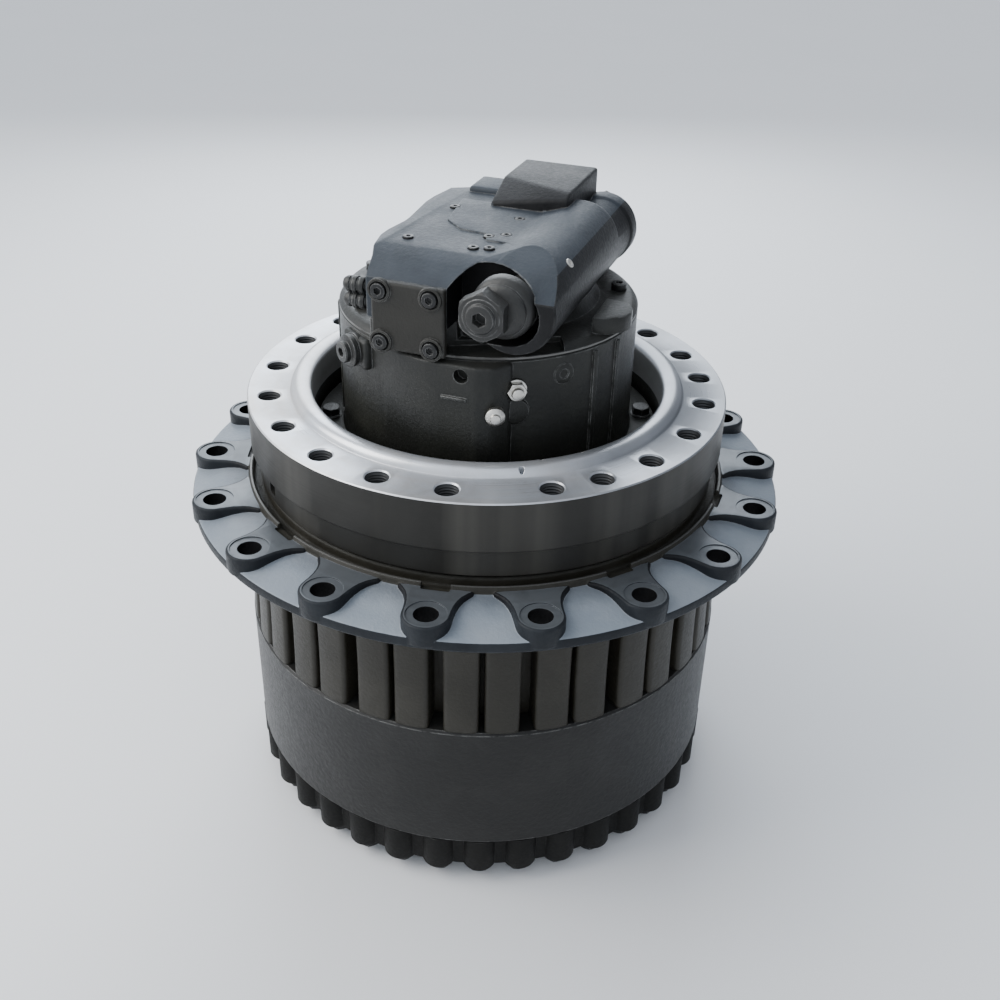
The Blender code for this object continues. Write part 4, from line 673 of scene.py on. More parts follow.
# The flange's side takes painted upright highlights.
flange_side = machined("flange_side", (0.02, 0.019, 0.0165), (0.014, 0.0133, 0.0118), 0.4,
    fineness=500.0, metallic=0.0, shine=0.24, highlight_share=0.6)
spot_face = machined("spot_face", (0.16, 0.175, 0.19), (0.07, 0.075, 0.08), 0.34, metallic=0.5)
thread_steel = machined("thread_steel", (0.07, 0.072, 0.075), (0.04, 0.04, 0.04), 0.45,
    fineness=1500.0, metallic=0.4)
zinc = machined("zinc", (0.7, 0.69, 0.66), (0.55, 0.52, 0.46), 0.26, fineness=1500.0)
gear_steel = machined("gear_steel", (0.46, 0.45, 0.44), (0.36, 0.34, 0.31), 0.3, fineness=1200.0)
ground_steel = machined("ground_steel", (0.6, 0.6, 0.6), (0.5, 0.49, 0.47), 0.16, fineness=2400.0,
    strength=0.05)
raw_iron = machined("raw_iron", (0.17, 0.17, 0.175), (0.12, 0.115, 0.105), 0.46, fineness=600.0,
    metallic=0.85)

# %% [markdown]
# The drive stands on its gear cover. The cover is a turned dish whose rim is scalloped: 36 round
# lobes, one for each bolt, leave the valleys between them open to save weight. The lobes are rods set
# round the dish and joined to it, and the bolt heads below them are one bolt, copied.

# %% Gear cover
cover = turned("gear_cover_casting", [(0, 0), (0.1862, 0), (0.1902, 0.004), (0.1938, 0.018),
    (0.2345, 0.018), (0.2385, 0.0195), (0.2385, 0.057), (0.2375, 0.058), (0.206, 0.058),
    (0.206, 0.034), (0, 0.034)], 144)
lobe = shifted(rod("lobe", 0.017, 0.04, (0, 0, 0.038), sides=32, chamfer=0.0022), 0.2312, 0)
add_to(cover, copies(lobe, turns(36), "lobes"))
plug_hole = shifted(rod("plug_hole", 0.0143, 0.05, (0, 0, 0.017), sides=32), 0.13694, 0)
cut_from(cover, copies(plug_hole, at_azimuths((90, 180)), "plug_holes"))
finish(cover, [cover_shade_paint], ["gear_cover"], "hub")

bolt = shifted(hex_bolt("cover_bolt", 0.0135, 0.01, 0.0142, 0.018, up=-1), 0.227, 0)
finish(copies(bolt, turns(36), "cover_bolts"), [black_bolt], ["gear_cover"], "hub")

# %% [markdown]
# The drum above the cover is the ring gear. Outside it is a plain turned wall with a small chamfer at
# each end; inside it carries 72 straight teeth. The wall is spun, one tooth is sketched as a tapered
# block, and the tooth is copied round the bore.

# %% Drum and its ring gear teeth
DRUM_LOW, DRUM_HIGH = 0.0583, 0.1985
BORE_EDGE_R = 0.2075
TEETH = 72
drum = turned("drum_wall", [(0.2462, DRUM_LOW), (0.2472, DRUM_LOW + 0.001),
    (0.2472, DRUM_HIGH - 0.0022), (0.245, DRUM_HIGH), (0.206, DRUM_HIGH),
    (0.2046, DRUM_HIGH - 0.0014), (0.2046, DRUM_LOW + 0.0014), (0.206, DRUM_LOW)], 180)
finish(drum, [drum_paint, gear_steel], ["ring_gear"], "hub",
    lambda face: int(face.center.xy.length < BORE_EDGE_R))
tooth = sketch("tooth", [(0.19305, -0.0024), (0.2055, -0.0067), (0.2055, 0.0067),
    (0.19305, 0.0024)], DRUM_LOW + 0.0015, DRUM_HIGH - 0.0015, 0.0007, 1)
finish(copies(tooth, turns(TEETH, math.pi / TEETH), "ring_gear_teeth"), [gear_steel], ["ring_gear"],
    "hub")

# %% [markdown]
# The hub is the casting that the sprocket bolts to. Its body is one turned profile: the bearing bore
# inside, the sloping sprocket flange outside, and the thin neck that shrouds the face seal. The
# profile is spun in 144 steps, so that the flange's edge reads as a true circle.

# %% Hub body
HUB_LOW = 0.1988
RIM_LOW, RIM_TOP = 0.3312, 0.342
NECK_TOP = 0.3584
NECK_R, NECK_BORE_R = 0.22515, 0.21565
BOSS_CIRCLE, BOSS_END_R, BOSS_TOP = 0.276, 0.0215, 0.355
hub = turned("hub_casting", [(0.21995, HUB_LOW), (0.21995, RIM_LOW - 0.01),
    (0.2228, RIM_LOW - 0.003), (0.23, RIM_LOW), (0.2935, RIM_LOW), (0.295, RIM_LOW + 0.0018),
    (0.295, RIM_TOP - 0.0022), (0.2942, RIM_TOP - 0.0007), (0.292, RIM_TOP + 0.0002),
    (0.244, NECK_TOP - 0.0078), (0.2402, NECK_TOP - 0.0062), (0.239, NECK_TOP - 0.002),
    (0.2382, NECK_TOP - 0.0002), (0.2364, NECK_TOP), (0.2352, NECK_TOP - 0.001),
    (0.234, NECK_TOP - 0.0082), (0.2262, NECK_TOP - 0.009), (NECK_R - 0.0004, NECK_TOP - 0.001),
    (NECK_R - 0.0014, NECK_TOP), (NECK_BORE_R + 0.0008, NECK_TOP), (NECK_BORE_R, NECK_TOP - 0.0008),
    (NECK_BORE_R, 0.3395), (0.18975, 0.3395), (0.18975, 0.3015), (0.17945, 0.3015),
    (0.17945, 0.2371), (0.18975, 0.2371), (0.18975, HUB_LOW)], 144)

# %% [markdown]
# 36 columns carry the flange on the drum. They stand in pairs, with a wide gap under each sprocket
# bolt so that a nut and a spanner can get there. One column is a block that flares at the top, where
# it runs into the flange like an arch, and it is copied to both sides of every bolt.

# %% Columns
COLUMN_OUT = 0.2469
COLUMN_HALF = 0.0165
column = block("column", (0.214, -COLUMN_HALF, HUB_LOW - 0.008), (COLUMN_OUT, COLUMN_HALF,
    RIM_LOW + 0.008))
edit(column, lambda: bpy.ops.mesh.subdivide(number_cuts=7))
for vertex in column.data.vertices:
    height = min(1.0, max(0.0, (vertex.co.z - HUB_LOW) / (RIM_LOW - HUB_LOW)))
    flare = 1 + 0.03 * height + 0.09 * max(0.0, height - 0.75) ** 2 / 0.0625
    vertex.co.y *= flare * vertex.co.x / COLUMN_OUT
    if vertex.co.x > 0.24:
        vertex.co.x -= 0.0016 * (vertex.co.y / COLUMN_HALF) ** 2 + 0.002 * math.sin(math.pi * height)
round_edges(column, 0.0042, 3, 50)


def trim_column():
    bpy.ops.mesh.bisect(plane_co=(0, 0, HUB_LOW), plane_no=(0, 0, 1), use_fill=True,
        clear_inner=True)
    bpy.ops.mesh.select_all(action="SELECT")
    bpy.ops.mesh.bisect(plane_co=(0, 0, RIM_LOW + 0.001), plane_no=(0, 0, 1), use_fill=True,
        clear_outer=True)
    tidy_mesh()


edit(column, trim_column)
BOSSES = 18
PITCH = 2 * math.pi / BOSSES
off_middle = PITCH / 4 * 1.1
moves = [Matrix.Rotation(PITCH * i + side * off_middle, 4, "Z") for i in range(BOSSES)
    for side in (1, -1)]
add_to(hub, copies(column, moves, "columns"))

# %% [markdown]
# Each sprocket bolt has its own raised boss. It ends in a half circle round the bolt and widens towards
# the neck, so that between two bosses the flange shows as a rounded wedge. The outline is half an arc
# and a list of points for one flank, mirrored for the other. Its top edge is rounded before the boss is
# joined on, because a bevel is safest on a simple shape.

# %% Sprocket bosses
boss_outline = [(BOSS_CIRCLE + BOSS_END_R * math.cos(a), BOSS_END_R * math.sin(a))
    for a in (math.radians(5 * step - 90) for step in range(37))]
flank = [(0.268, 0.0217), (0.261, 0.0224), (0.254, 0.024), (0.248, 0.0266), (0.243, 0.0302),
    (0.24, 0.0332), (0.236, 0.034)]
boss_outline += flank + [(x, -y) for x, y in reversed(flank)]
boss = sketch("boss", boss_outline, RIM_LOW + 0.003, BOSS_TOP, 0.0022, 3, 50)
add_to(hub, copies(boss, turns(BOSSES), "bosses"))
HOLE_R, SPOT_R = 0.011, 0.0178
hole = shifted(rod("sprocket_hole", HOLE_R, 0.06, (0, 0, 0.345), sides=36), BOSS_CIRCLE, 0)
spot = shifted(rod("spot_facing", SPOT_R, 0.01, (0, 0, BOSS_TOP + 0.0041), sides=40), BOSS_CIRCLE,
    0)
cut_from(hub, copies(hole, turns(BOSSES), "sprocket_holes"))
cut_from(hub, copies(spot, turns(BOSSES), "spot_facings"))
notch = block("notch", (0.231, -0.013, NECK_TOP - 0.006), (0.2425, 0.013, NECK_TOP + 0.004), 0.0015)
cut_from(hub, copies(notch, turns(9), "notches"))


def hub_face(face):
    """Slot 0 columns, 1 flange in painted sheen, 2 boss in painted shade, 3 spot face, 4 hole in
    painted shade, 5 neck rim with a painted highlight.
    """
    x, y, z = face.center
    radius = math.hypot(x, y)
    axis = round(math.atan2(y, x) / PITCH) * PITCH
    away = math.hypot(x - BOSS_CIRCLE * math.cos(axis), y - BOSS_CIRCLE * math.sin(axis))
    if away < HOLE_R + 0.0003 and abs(face.normal.z) < 0.5:
        return 4
    if away < SPOT_R + 0.0004 and face.normal.z > 0.9 and z > BOSS_TOP - 0.002:
        return 3
    across = abs(y * math.cos(axis) - x * math.sin(axis))
    raised = z > RIM_TOP + (0.295 - radius) * 0.17 + 0.0006
    if radius > 0.2345 and z > NECK_TOP - 0.0003:
        return 5
    if z < RIM_LOW + 0.0005 or radius < 0.2404:
        return 0
    if radius > 0.2935 and not raised:
        return 2
    if raised and across < 0.0342:
        return 2
    return 1


finish(hub, [column_paint, flange_sheen_paint, boss_shade_paint, spot_face, hole_shade, rim_highlight_steel], ["hub"],
    "hub", hub_face)

# %% [markdown]
# The spindle housing bolts to the machine's frame. All that shows of it is the big ground flange with
# its lip, but the journal below carries the hub's bearings, so the profile runs all the way down.

# %% Spindle housing
FRAME_FACE = 0.4395
FRAME_HOLES = (8.6, 24.2, 39.1, 56.0, 73.0, 90.0, 107.0, 124.0, 141.0, 158.0, 174.5, 192.9, 211.1,
    229.0, 246.9, 264.1, 281.2, 305.3, 318.1, 333.2, 350.7)
FRAME_HOLE_CIRCLE = 0.21305
spindle = turned("spindle_casting", [(0.15005, 0.191), (0.15005, 0.3381), (0.16605, 0.3381),
    (0.16605, 0.3624), (0.227, 0.3624), (0.22765, 0.3632), (0.22765, 0.3894), (0.2334, 0.3907),
    (0.23425, 0.3918), (0.23425, 0.4384), (0.2332, FRAME_FACE), (0.1935, FRAME_FACE),
    (0.1925, 0.4401), (0.1918, 0.4425), (0.1902, 0.4455), (0.1875, 0.4472), (0.184, 0.448),
    (0.1795, 0.4476), (0.1752, 0.446), (0.173, 0.444), (0.17225, 0.4415), (0.17225, 0.416),
    (0.17225, 0.386), (0.12205, 0.386), (0.12205, 0.223), (0.058, 0.223), (0.058, 0.191)], 180)
pin_hole = shifted(rod("pin_hole", 0.0193, 0.034, (0, 0, 0.2023), sides=32), 0.12375, 0)
cut_from(spindle, copies(pin_hole, at_azimuths((0, 120, 240)), "pin_holes"))
thread = [(0, FRAME_FACE - 0.042), (0.0098, FRAME_FACE - 0.036)]
for turn in range(12):
    thread += [(0.0098, FRAME_FACE - 0.035 + 0.0028 * turn), (0.0106,
        FRAME_FACE - 0.0336 + 0.0028 * turn)]
thread += [(0.0106, FRAME_FACE - 0.0012), (0.0118, FRAME_FACE), (0.0118, FRAME_FACE + 0.002),
    (0, FRAME_FACE + 0.002)]
drill = shifted(turned("tapped_hole", thread, 32), FRAME_HOLE_CIRCLE, 0)
cut_from(spindle, copies(drill, at_azimuths(FRAME_HOLES), "tapped_holes"))
DOWELS = ((-60.7, 0.189), (-53.9, 0.1765), (-41.4, 0.176))
marks = [swung(rod("dowel_mark", 0.0026, 0.014, (reach, 0, 0.446), sides=20), azimuth) for azimuth,
    reach in DOWELS]
cut_from(spindle, joined(marks, "dowel_marks"))
side_slot = block("side_slot", (0.219, -0.0065, 0.369), (0.242, 0.0065, 0.387), 0.003, 3)
cut_from(spindle, swung(side_slot, 228.5))


def spindle_face(face):
    """Slot 0 ground top, 1 flange side, 2 thread, 3 the well in dark case paint as painted shade, 4 the
    turned wall of the bore.
    """
    x, y, z = face.center
    radius = math.hypot(x, y)
    for azimuth in FRAME_HOLES:
        away = math.hypot(x - FRAME_HOLE_CIRCLE * math.cos(math.radians(azimuth)), y
            - FRAME_HOLE_CIRCLE * math.sin(math.radians(azimuth)))
        if away < 0.0112 and z < FRAME_FACE - 0.0008:
            return 2
    if 0.1695 < radius < 0.179 and 0.408 < z and abs(face.normal.z) < 0.3:
        return 4
    if radius < 0.174 and z < 0.43:
        return 3
    if z < 0.438 and radius > 0.17:
        return 1
    return 0


finish(spindle, [bright_face, flange_side, thread_steel, case_paint, bore_steel],
    ["spindle_housing"], pick=spindle_face)

# %% [markdown]
# The travel motor's case is a cast cup that drops into the spindle housing and is bolted to its ledge.
# The long wall that shows is turned. A pad is cast on its front for the ports, and a few shallow ribs
# and bosses break up the wall, as on any casting that has to come out of its mould.

# %% Motor case
CASE_R, CASE_TOP = 0.1415, 0.526
case = turned("case_casting", [(CASE_R, 0.5245), (CASE_R - 0.0015, CASE_TOP), (0.10605, CASE_TOP),
    (0.10605, 0.2643), (0.0238, 0.2643), (0.0238, 0.2443), (0.1205, 0.2443), (0.12175, 0.2456),
    (0.12175, 0.3863), (0.1684, 0.3863), (0.16925, 0.3872), (0.16925, 0.401), (0.168, 0.4023),
    (0.148, 0.4023), (0.1435, 0.4038), (0.1418, 0.408), (CASE_R, 0.412)], 144)
pad = sketch("case_pad", [(-0.06, -0.118), (-0.06, -0.1262), (-0.045, -0.1365), (-0.025, -0.144),
    (-0.008, -0.1485), (0.008, -0.15), (0.044, -0.15), (0.056, -0.1445), (0.068, -0.131),
    (0.068, -0.118)], 0.408, 0.525, 0.003, 3, 20)
port = rod("pad_port", 0.0065, 0.02, (0.03, -0.15, 0.5155), sides=28, along="Y")
cut_from(pad, port)
upper_rib = block("pad_rib", (0.012, -0.1525, 0.4925), (0.036, -0.13, 0.4955), 0.0014, 2)
wall_boss = rod("wall_boss", 0.0125, 0.016, (0, -0.1375, 0.478), sides=40, chamfer=0.003, along="Y")
side_boss = rod("side_boss", 0.01, 0.014, (0, -0.136, 0.508), sides=36, chamfer=0.002, along="Y")
cut_from(side_boss, rod("drilling", 0.0045, 0.01, (0, -0.144, 0.508), sides=24, along="Y"))
left_boss = block("left_boss", (-0.02, -0.1475, 0.494), (0.02, -0.125, 0.523), 0.004, 3)
ribs = [swung(block("wall_rib", (-0.003, -0.144, 0.408), (0.003, -0.138, 0.522), 0.0014, 2),
    azimuth) for azimuth in (62, 75, 118, 150, 205, 240, 290)]
add_to(case, pad, upper_rib, swung(wall_boss, 30), swung(side_boss, 48), swung(left_boss, -35),
    joined(ribs, "wall_ribs"))
finish(case, [case_paint], ["motor_case"])
flange_bolt = shifted(hex_bolt("flange_bolt", 0.0092, 0.009, 0.0105, 0.4023), 0.15538, 0)
finish(copies(flange_bolt, at_azimuths([22.5 + 45 * i for i in range(8)]), "case_flange_bolts"),
    [black_bolt], ["motor_case"])

# %% [markdown]
# The end cover closes the cup and carries the valve block. It is raised only under the block, its
# machined rim's chamfer takes a lighter steel, partly bare metal and partly a painted highlight line,
# and one lifting lug sticks out on the right.
# The barrel of the valve block lies in a groove that is milled across its top.

# %% End cover
BARREL_X, BARREL_Z = 0.0725, 0.5788
RIM_Z = 0.5345
cover = turned("end_cover_casting", [(0, 0.5523), (0.096, 0.5523), (0.0985, 0.551), (0.102, 0.54),
    (0.105, 0.5358), (0.11, RIM_Z), (0.1335, RIM_Z), (0.1375, 0.5332), (0.14, 0.5308),
    (0.1408, 0.5292), (CASE_R, 0.5285), (CASE_R, 0.5268), (0.1408, 0.5263), (0.10575, 0.5263),
    (0.10575, 0.5083), (0, 0.5083)], 144)
seat = sketch("block_seat", [(-0.058, -0.1405), (-0.062, -0.117), (-0.08, -0.063), (-0.0795, -0.05),
    (-0.067, -0.039), (-0.067, -0.03), (-0.0805, 0.04), (-0.078, 0.055), (-0.046, 0.072),
    (-0.043, 0.098), (0.05, 0.098), (0.05, -0.11), (0.015, -0.11), (0.015, -0.1405)], 0.5275,
    0.5518, 0.001, 1)
lug = sketch("lug", [(0.118, -0.06), (0.132, -0.057), (0.144, -0.046), (0.1475, -0.036),
    (0.146, -0.024), (0.14, -0.014), (0.118, -0.01)], 0.533, 0.549, 0.0015, 2)
add_to(cover, seat, lug)
relief = block("front_relief", (0.113, -0.056, 0.529), (0.16, 0.048, 0.56))
cut_from(cover, swung(relief, -62))
cut_from(cover, rod("barrel_groove", 0.0395, 0.34, (BARREL_X, 0, BARREL_Z), sides=64, along="Y"))
cut_from(cover, rod("shaft_end", 0.0246, 0.011, (0, 0, 0.5118), sides=48))
# The rim's chamfer takes the lighter steel, partly as a painted highlight line.
finish(cover, [case_paint, rim_highlight_steel], ["motor_end_cover"],
    pick=lambda face: int(0.5267 < face.center.z < 0.5287 and face.center.xy.length > 0.14))
cover_bolt = shifted(socket_bolt("end_cover_bolt", 0.0075, 0.007, RIM_Z), 0.1245, 0)
spots = at_azimuths((24, 100, 128, 152, 176, 200, 222))
finish(copies(cover_bolt, spots, "end_cover_bolts"), [black_bolt], ["motor_end_cover"])

# %% [markdown]
# The valve block is the roughest casting here. Its left side swells into two lobes, its front slopes,
# and its top steps up twice towards the port boss. Each of these masses is sketched and bevelled on
# its own, and the masses are then joined, as a pattern maker would glue them up.

# %% Valve block masses
BLOCK_BASE, BLOCK_TOP = 0.5526, 0.6076
BLOCK_FRONT = -0.1425
mass = sketch("valve_block_casting", [(-0.06, -0.1425), (-0.0642, -0.118), (-0.082, -0.064),
    (-0.0815, -0.05), (-0.069, -0.04), (-0.069, -0.031), (-0.0825, 0.04), (-0.08, 0.056),
    (-0.048, 0.074), (-0.045, 0.1), (0.052, 0.1), (0.052, -0.1425)], BLOCK_BASE, BLOCK_TOP)


def slope_front(set_forward=0.0):
    slice_off((0, BLOCK_FRONT - set_forward, 0.5896), (0, -0.4327, 0.9015))


edit(mass, slope_front, lambda: slice_off((-0.0825, 0, 0.5975), (-0.475, 0, 0.88)))
round_edges(mass, 0.002, 2, 30)
foot = block("block_foot", (-0.06, -0.12, BLOCK_BASE), (0.016, 0.096, 0.575), 0.002, 2)
barrel = turned("barrel", [(0, -0.145), (0.0372, -0.145), (0.038, -0.1435), (0.038, 0.048),
    (0.037, 0.052), (0.034, 0.06), (0.029, 0.064), (0, 0.064)], 96)
along_barrel(barrel, BARREL_X, 0, BARREL_Z, 1)
edit(barrel, lambda: slope_front(0.0012))
round_edges(barrel, 0.0012, 2, 15)
rear_neck = turned("rear_neck", [(0, 0.03), (0.0315, 0.03), (0.0318, 0.1), (0.0322, 0.102),
    (0.0335, 0.104), (0.0338, 0.106), (0.0338, 0.12), (0.0325, 0.124), (0.029, 0.128),
    (0.024, 0.13), (0, 0.13)], 80)
along_barrel(rear_neck, 0.0765, 0, 0.5712, 1)
saddle = block("barrel_saddle", (0.033, -0.142, 0.56), (0.062, 0.04, 0.62))
edit(saddle, lambda: slice_off((0.0614, 0, 0.615), (-0.2907, 0, 0.9568)),
    lambda: slope_front(0.0006))
boss = block("port_boss", (-0.008, 0.021, 0.585), (0.067, 0.122, 0.6276))
edit(boss, lambda: slice_off((0.033, 0.021, 0.6186), (-0.1381, -0.3682, 0.9205)))
round_edges(boss, 0.003, 3, 15)
boss_wing = block("boss_wing", (-0.044, 0.058, 0.57), (0.01, 0.098, 0.613), 0.0035, 3)
rear_step = sketch("rear_step", [(-0.045, 0.08), (0.0025, 0.0552), (0.0202, 0.0593), (0.029, 0.039),
    (0.0443, 0.02), (0.052, 0.02), (0.052, 0.098), (-0.044, 0.098)], 0.6, 0.6112, 0.0012, 2)
middle_pad = sketch("middle_pad", [(-0.03, -0.031), (-0.01, -0.05), (0.0154, -0.0533),
    (0.0215, -0.069), (0.045, -0.069), (0.047, 0.03), (-0.04, 0.033)], 0.6, 0.6092, 0.0009, 2)
add_to(mass, foot, barrel, rear_neck, saddle, boss, boss_wing, rear_step, middle_pad)

# %% [markdown]
# Then come the cuts: the spool's bore through the barrel, one wide recess in front for the cap and the
# plug beside it, two hose ports at the back, and small drillings in the top. A block like this is full
# of crossing passages, and each one that breaks the surface is closed by a small socket plug.

# %% Bores, drillings and plugs of the valve block
bore = turned("spool_bore", [(0, -0.16), (0.02, -0.16), (0.02, -0.0725), (0.0163, -0.0725),
    (0.0163, 0.0575), (0.02, 0.0575), (0.02, 0.14), (0, 0.14)], 60)
cut_from(mass, along_barrel(bore, BARREL_X, 0, BARREL_Z, 1))
recess = sketch("plug_recess", [(0.0146, 0.548), (0.0146, 0.589), (0.0185, 0.595), (0.024, 0.6003),
    (0.03, 0.6038), (0.036, 0.6049), (0.044, 0.6053), (0.052, 0.605), (0.06, 0.6038),
    (0.068, 0.6018), (0.0762, 0.5992), (0.0838, 0.5958), (0.0898, 0.5915), (0.094, 0.586),
    (0.0962, 0.5795), (0.0966, 0.5725), (0.0952, 0.5655), (0.0918, 0.559), (0.0864, 0.5535),
    (0.078, 0.5495), (0.07, 0.548)], 0.108, 0.17)
cut_from(mass, along_barrel(recess, 0, 0, 0, -1))
PORTS = ((0.011, 0.604), (0.041, 0.604))
PORT_R = 0.011
ports = [rod("hose_port", PORT_R, 0.034, (x, 0.109, z), sides=40, along="Y") for x, z in PORTS]
cut_from(mass, joined(ports, "hose_ports"))
PLUGS = ((-0.044, -0.087), (-0.0375, 0.007), (0.03, -0.004), (0.0335, -0.05), (0.0205, -0.0592),
    (0.018, -0.0905), (0.0312, -0.0868))
holes = [rod("drilling", 0.0052, 0.012, (x, y, 0.6107), sides=22) for x, y in PLUGS]
cut_from(mass, joined(holes, "drillings"))


def block_face(face):
    """Slot 0 paint, 1 painted shade in the recess and the ports, 2 painted shade on the barrel's lower
    side and front and on the port boss.
    """
    x, y, z = face.center
    in_recess = x > 0.014 and ((x - 0.055) / 0.0425) ** 2 + ((z - 0.5745) / 0.0315) ** 2 < 1
    in_corner = 0.014 < x < 0.03 and z < 0.603 or 0.014 < x < 0.08 and z < 0.56
    in_port = min(math.hypot(x - port_x, z - port_z) for port_x, port_z in PORTS) < PORT_R + 0.0002
    if -0.143 < y < -0.1075 and (in_recess or in_corner) or in_port and 0.09 < y < 0.1218:
        return 1
    below_ridge = math.atan2(x - BARREL_X, z - BARREL_Z) > 0.864 and x > BARREL_X
    barrel_front = y < -0.1444 and z < 0.5895
    walls = (x < -0.0068 and z > 0.6 or face.normal.y > 0.9 and z > 0.59 or x > 0.0655
        and z > 0.6035)
    on_boss = y > 0.0205 and -0.009 < x < 0.068 and (z > 0.6118 or walls)
    return 2 if below_ridge or barrel_front or on_boss else 0


finish(mass, [block_paint, hole_shade, block_shade_paint], ["valve_block"], pick=block_face)
plugs = [shifted(socket_bolt("top_plug", 0.0046, 0.0045, 0.605), x, y) for x, y in PLUGS]
finish(joined(plugs, "block_top_plugs"), [black_bolt], ["valve_block"])

# %% [markdown]
# The two caps screw into the ends of the barrel and hold the spool's springs. The front one is a
# stepped dome, and beside it, in the same deep recess, a hexagon plug with a ring and a socket closes
# the relief passage.

# %% Spool caps
rear_cap = turned("rear_cap", [(0, -0.018), (0.0187, -0.018), (0.0197, -0.017), (0.0197, 0.0095),
    (0.015, 0.01), (0.015, 0.013), (0.0138, 0.0145), (0, 0.0145)], 64)
add_to(rear_cap, hexagon_step(0.022, 0.0003, 0.0098))
cut_from(rear_cap, rod("cap_socket", 0.007, 0.012, (0, 0, 0.015), sides=6))
finish(along_barrel(rear_cap, BARREL_X, 0.13, BARREL_Z, 1), [cap_paint], ["spool_cap_rear"])

dome = turned("front_cap", [(0, -0.008), (0.0155, -0.008), (0.0163, -0.007), (0.0163, 0.001),
    (0.0262, 0.0012), (0.027, 0.0022), (0.027, 0.0098), (0.0262, 0.0122), (0.0243, 0.0144),
    (0.0226, 0.0152), (0.0222, 0.016), (0.0222, 0.0172), (0.0205, 0.0192), (0.0165, 0.0206),
    (0.01, 0.0212), (0, 0.0213)], 72)
along_barrel(dome, 0.065, -0.135, 0.581, -1)
shank = turned("cap_shank", [(0, -0.1365), (0.0197, -0.1365), (0.0197, -0.104), (0.0186, -0.104),
    (0.0186, -0.1175), (0, -0.1175)], 64)
add_to(dome, along_barrel(shank, BARREL_X, 0, BARREL_Z, 1))
finish(dome, [cap_paint], ["spool_cap_front"])
plug = turned("relief_plug", [(0, -0.012), (0.018, -0.012), (0.018, 0.0175), (0.0165, 0.018),
    (0.0165, 0.033), (0.016, 0.0338), (0.0128, 0.0342), (0.0128, 0.0362), (0.0118, 0.0374),
    (0.0096, 0.0378), (0, 0.0378)], 64)
add_to(plug, hexagon_step(0.0222, 0.0182, 0.0335))
cut_from(plug, rod("relief_socket", 0.0064, 0.016, (0, 0, 0.0378), sides=6))
finish(along_barrel(plug, 0.0545, -0.135, 0.5795, -1), [cap_paint], ["spool_cap_front"])
dot = turned("barrel_plug", [(0, -0.004), (0.0042, -0.004), (0.0042, 0.0008), (0.0036, 0.0014),
    (0, 0.0014)], 28)
cut_from(dot, rod("dot_socket", 0.0018, 0.002, (0, 0, 0.0016), sides=6))
moved(dot, Matrix.Translation((BARREL_X, -0.082, BARREL_Z)) @ Matrix.Rotation(0.863, 4, "Y")
    @ Matrix.Translation((0, 0, 0.038)))
finish(dot, [zinc], ["valve_block"])

# %% [markdown]
# The front plate closes the passages to the motor. It is a rolled plate held by four cap screws in
# round counterbores, whose rims catch the light.

# %% Front plate
PLATE_BACK, PLATE_FRONT = -0.1428, -0.15
plate = block("front_plate_steel", (-0.052, PLATE_FRONT, 0.5283), (0.0152, PLATE_BACK, 0.59),
    0.0022, 3)
SCREWS = ((-0.0435, 0.5825), (0.003, 0.581), (-0.043, 0.5362), (0.0035, 0.5358))
pads = [rod("screw_pad", 0.0105, 0.005, (x, PLATE_FRONT, z), sides=36, chamfer=0.0008, along="Y")
    for x, z in SCREWS]
add_to(plate, joined(pads, "screw_pads"))
wells = [rod("counterbore", 0.0082, 0.006, (x, PLATE_FRONT - 0.0015, z), sides=32, along="Y") for x,
    z in SCREWS]
cut_from(plate, joined(wells, "counterbores"))
finish(plate, [plate_paint], ["front_plate"])
screws = [along_barrel(socket_bolt("plate_screw", 0.0068, 0.006, 0.0), x, PLATE_FRONT + 0.0015, z,
    -1) for x, z in SCREWS]
finish(joined(screws, "plate_screws"), [black_bolt], ["front_plate"])

# %% [markdown]
# Two ribbed plugs stand out of the block's left side, and below them a larger relief valve points away
# from the case. Both are turned with their knurled rings as steps in the profile.

# %% Side plugs, relief valve and fittings
def ribbed_plug(name, node, z):
    plug = turned(name, [(0, -0.012), (0.0046, -0.012), (0.0046, 0.0004), (0.0072, 0.0004),
        (0.0076, 0.0012), (0.0076, 0.0042), (0.0062, 0.0047), (0.0062, 0.0072), (0.0075, 0.0077),
        (0.0075, 0.011), (0.006, 0.0116), (0.006, 0.0138), (0.007, 0.0143), (0.0068, 0.0172),
        (0.005, 0.02), (0, 0.0206)], 40)
    cut_from(plug, rod("plug_socket", 0.003, 0.006, (0, 0, 0.0196), sides=6))
    moved(plug, Matrix.Translation((-0.0668, -0.1265, z)) @ Matrix.Rotation(-math.pi / 2, 4, "Y"))
    finish(plug, [cap_paint], [node])


ribbed_plug("upper_ribbed_plug", "side_plug_upper", 0.5741)
ribbed_plug("lower_ribbed_plug", "side_plug_lower", 0.5601)

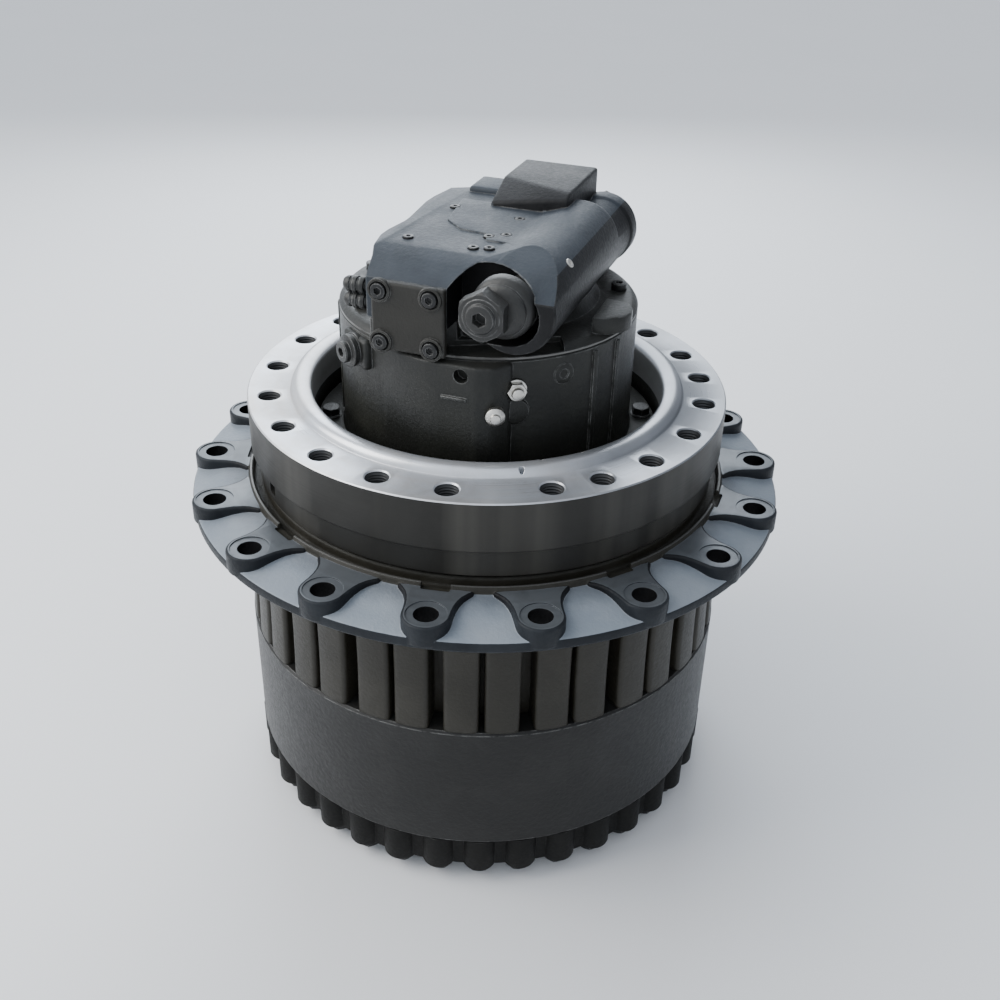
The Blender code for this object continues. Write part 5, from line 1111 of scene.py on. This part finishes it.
low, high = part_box("relief_valve")
relief = turned("relief_valve_body", [(0, -0.008), (0.0128, -0.008), (0.0128, 0.001),
    (0.015, 0.0012), (0.0155, 0.002), (0.0155, 0.0048), (0.0138, 0.0054), (0.0138, 0.0074),
    (0.015, 0.008), (0.015, 0.0112), (0.012, 0.0124), (0.0098, 0.0126), (0.0098, 0.0168),
    (0.0088, 0.018), (0, 0.0182)], 56)
cut_from(relief, rod("relief_socket", 0.0048, 0.008, (0, 0, 0.017), sides=6))
radial(relief, 235, CASE_R + 0.001, (low.z + high.z) / 2)
finish(relief, [cap_paint], ["relief_valve"])
low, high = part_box("case_fitting")
fitting = hex_bolt("fitting_head", 0.0088, 0.0075, 0.0096, 0.0004)
stem = turned("fitting_stem", [(0, -0.008), (0.0066, -0.008), (0.0066, 0.002), (0.0058, 0.007),
    (0.0058, 0.01), (0.0052, 0.0125), (0.003, 0.0135), (0, 0.0135)], 36)
fitting = joined([fitting, stem], "case_fitting_plated")
radial(fitting, 300, CASE_R + 0.001, (low.z + high.z) / 2)
finish(fitting, [zinc], ["case_fitting"])
nipple = turned("bleed_nipple", [(0, -0.004), (0.0062, -0.004), (0.0062, 0.004), (0.007, 0.005),
    (0.0072, 0.0082), (0.0056, 0.01), (0.004, 0.0108), (0.0036, 0.0128), (0.002, 0.0136),
    (0, 0.0136)], 36)
radial(moved(nipple, Matrix.Diagonal((1.2, 1.2, 1.0, 1))), 292.6, 0.1525, 0.4815)
finish(nipple, [zinc])

# %% [markdown]
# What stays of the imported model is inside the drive. These pieces already have the right shape, so
# they only take a finish: ground steel for races and seals, gear steel, cast iron, plated plugs.

# %% Finishes for the pieces inside
INSIDE = {"ring_gear": drum_paint, "drain_plug": zinc, "level_plug": zinc, "case_fitting": zinc,
    "first_carrier": raw_iron, "second_carrier": raw_iron, "valve_plate": raw_iron,
    "cylinder_block": raw_iron, "bearing_nut": raw_iron, "swash_plate": ground_steel,
    "drive_shaft": ground_steel, "counterbalance_spool": ground_steel, "brake_plate": ground_steel,
    "rotating_seal_ring": ground_steel, "fixed_seal_ring": ground_steel}
for name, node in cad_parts.items():
    if name.endswith("race") or name.startswith("piston"):
        metal = ground_steel
    else:
        metal = INSIDE.get(name, gear_steel)
    node.data.materials.clear()
    node.data.materials.append(metal)
print("finished", len(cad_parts), "packed pieces")

# %% [markdown]
# The drive stands on a plain pale floor with nothing else in sight.

# %% Floor
FLOOR_SIZE = 12
pale_floor, tree, shader = new_material("pale_floor")
haze = noise(tree, object_place(tree), 2.0, 2.0)
tree.links.new(mix_colour(tree, haze, (0.86, 0.87, 0.88, 1), (0.9, 0.9, 0.91, 1)),
    shader["Base Color"])
shader["Roughness"].default_value = 0.7
alone()
bpy.ops.mesh.primitive_plane_add(size=FLOOR_SIZE, location=(0, 0, 0))
floor = settle(named("floor"))
floor.data.materials.append(pale_floor)
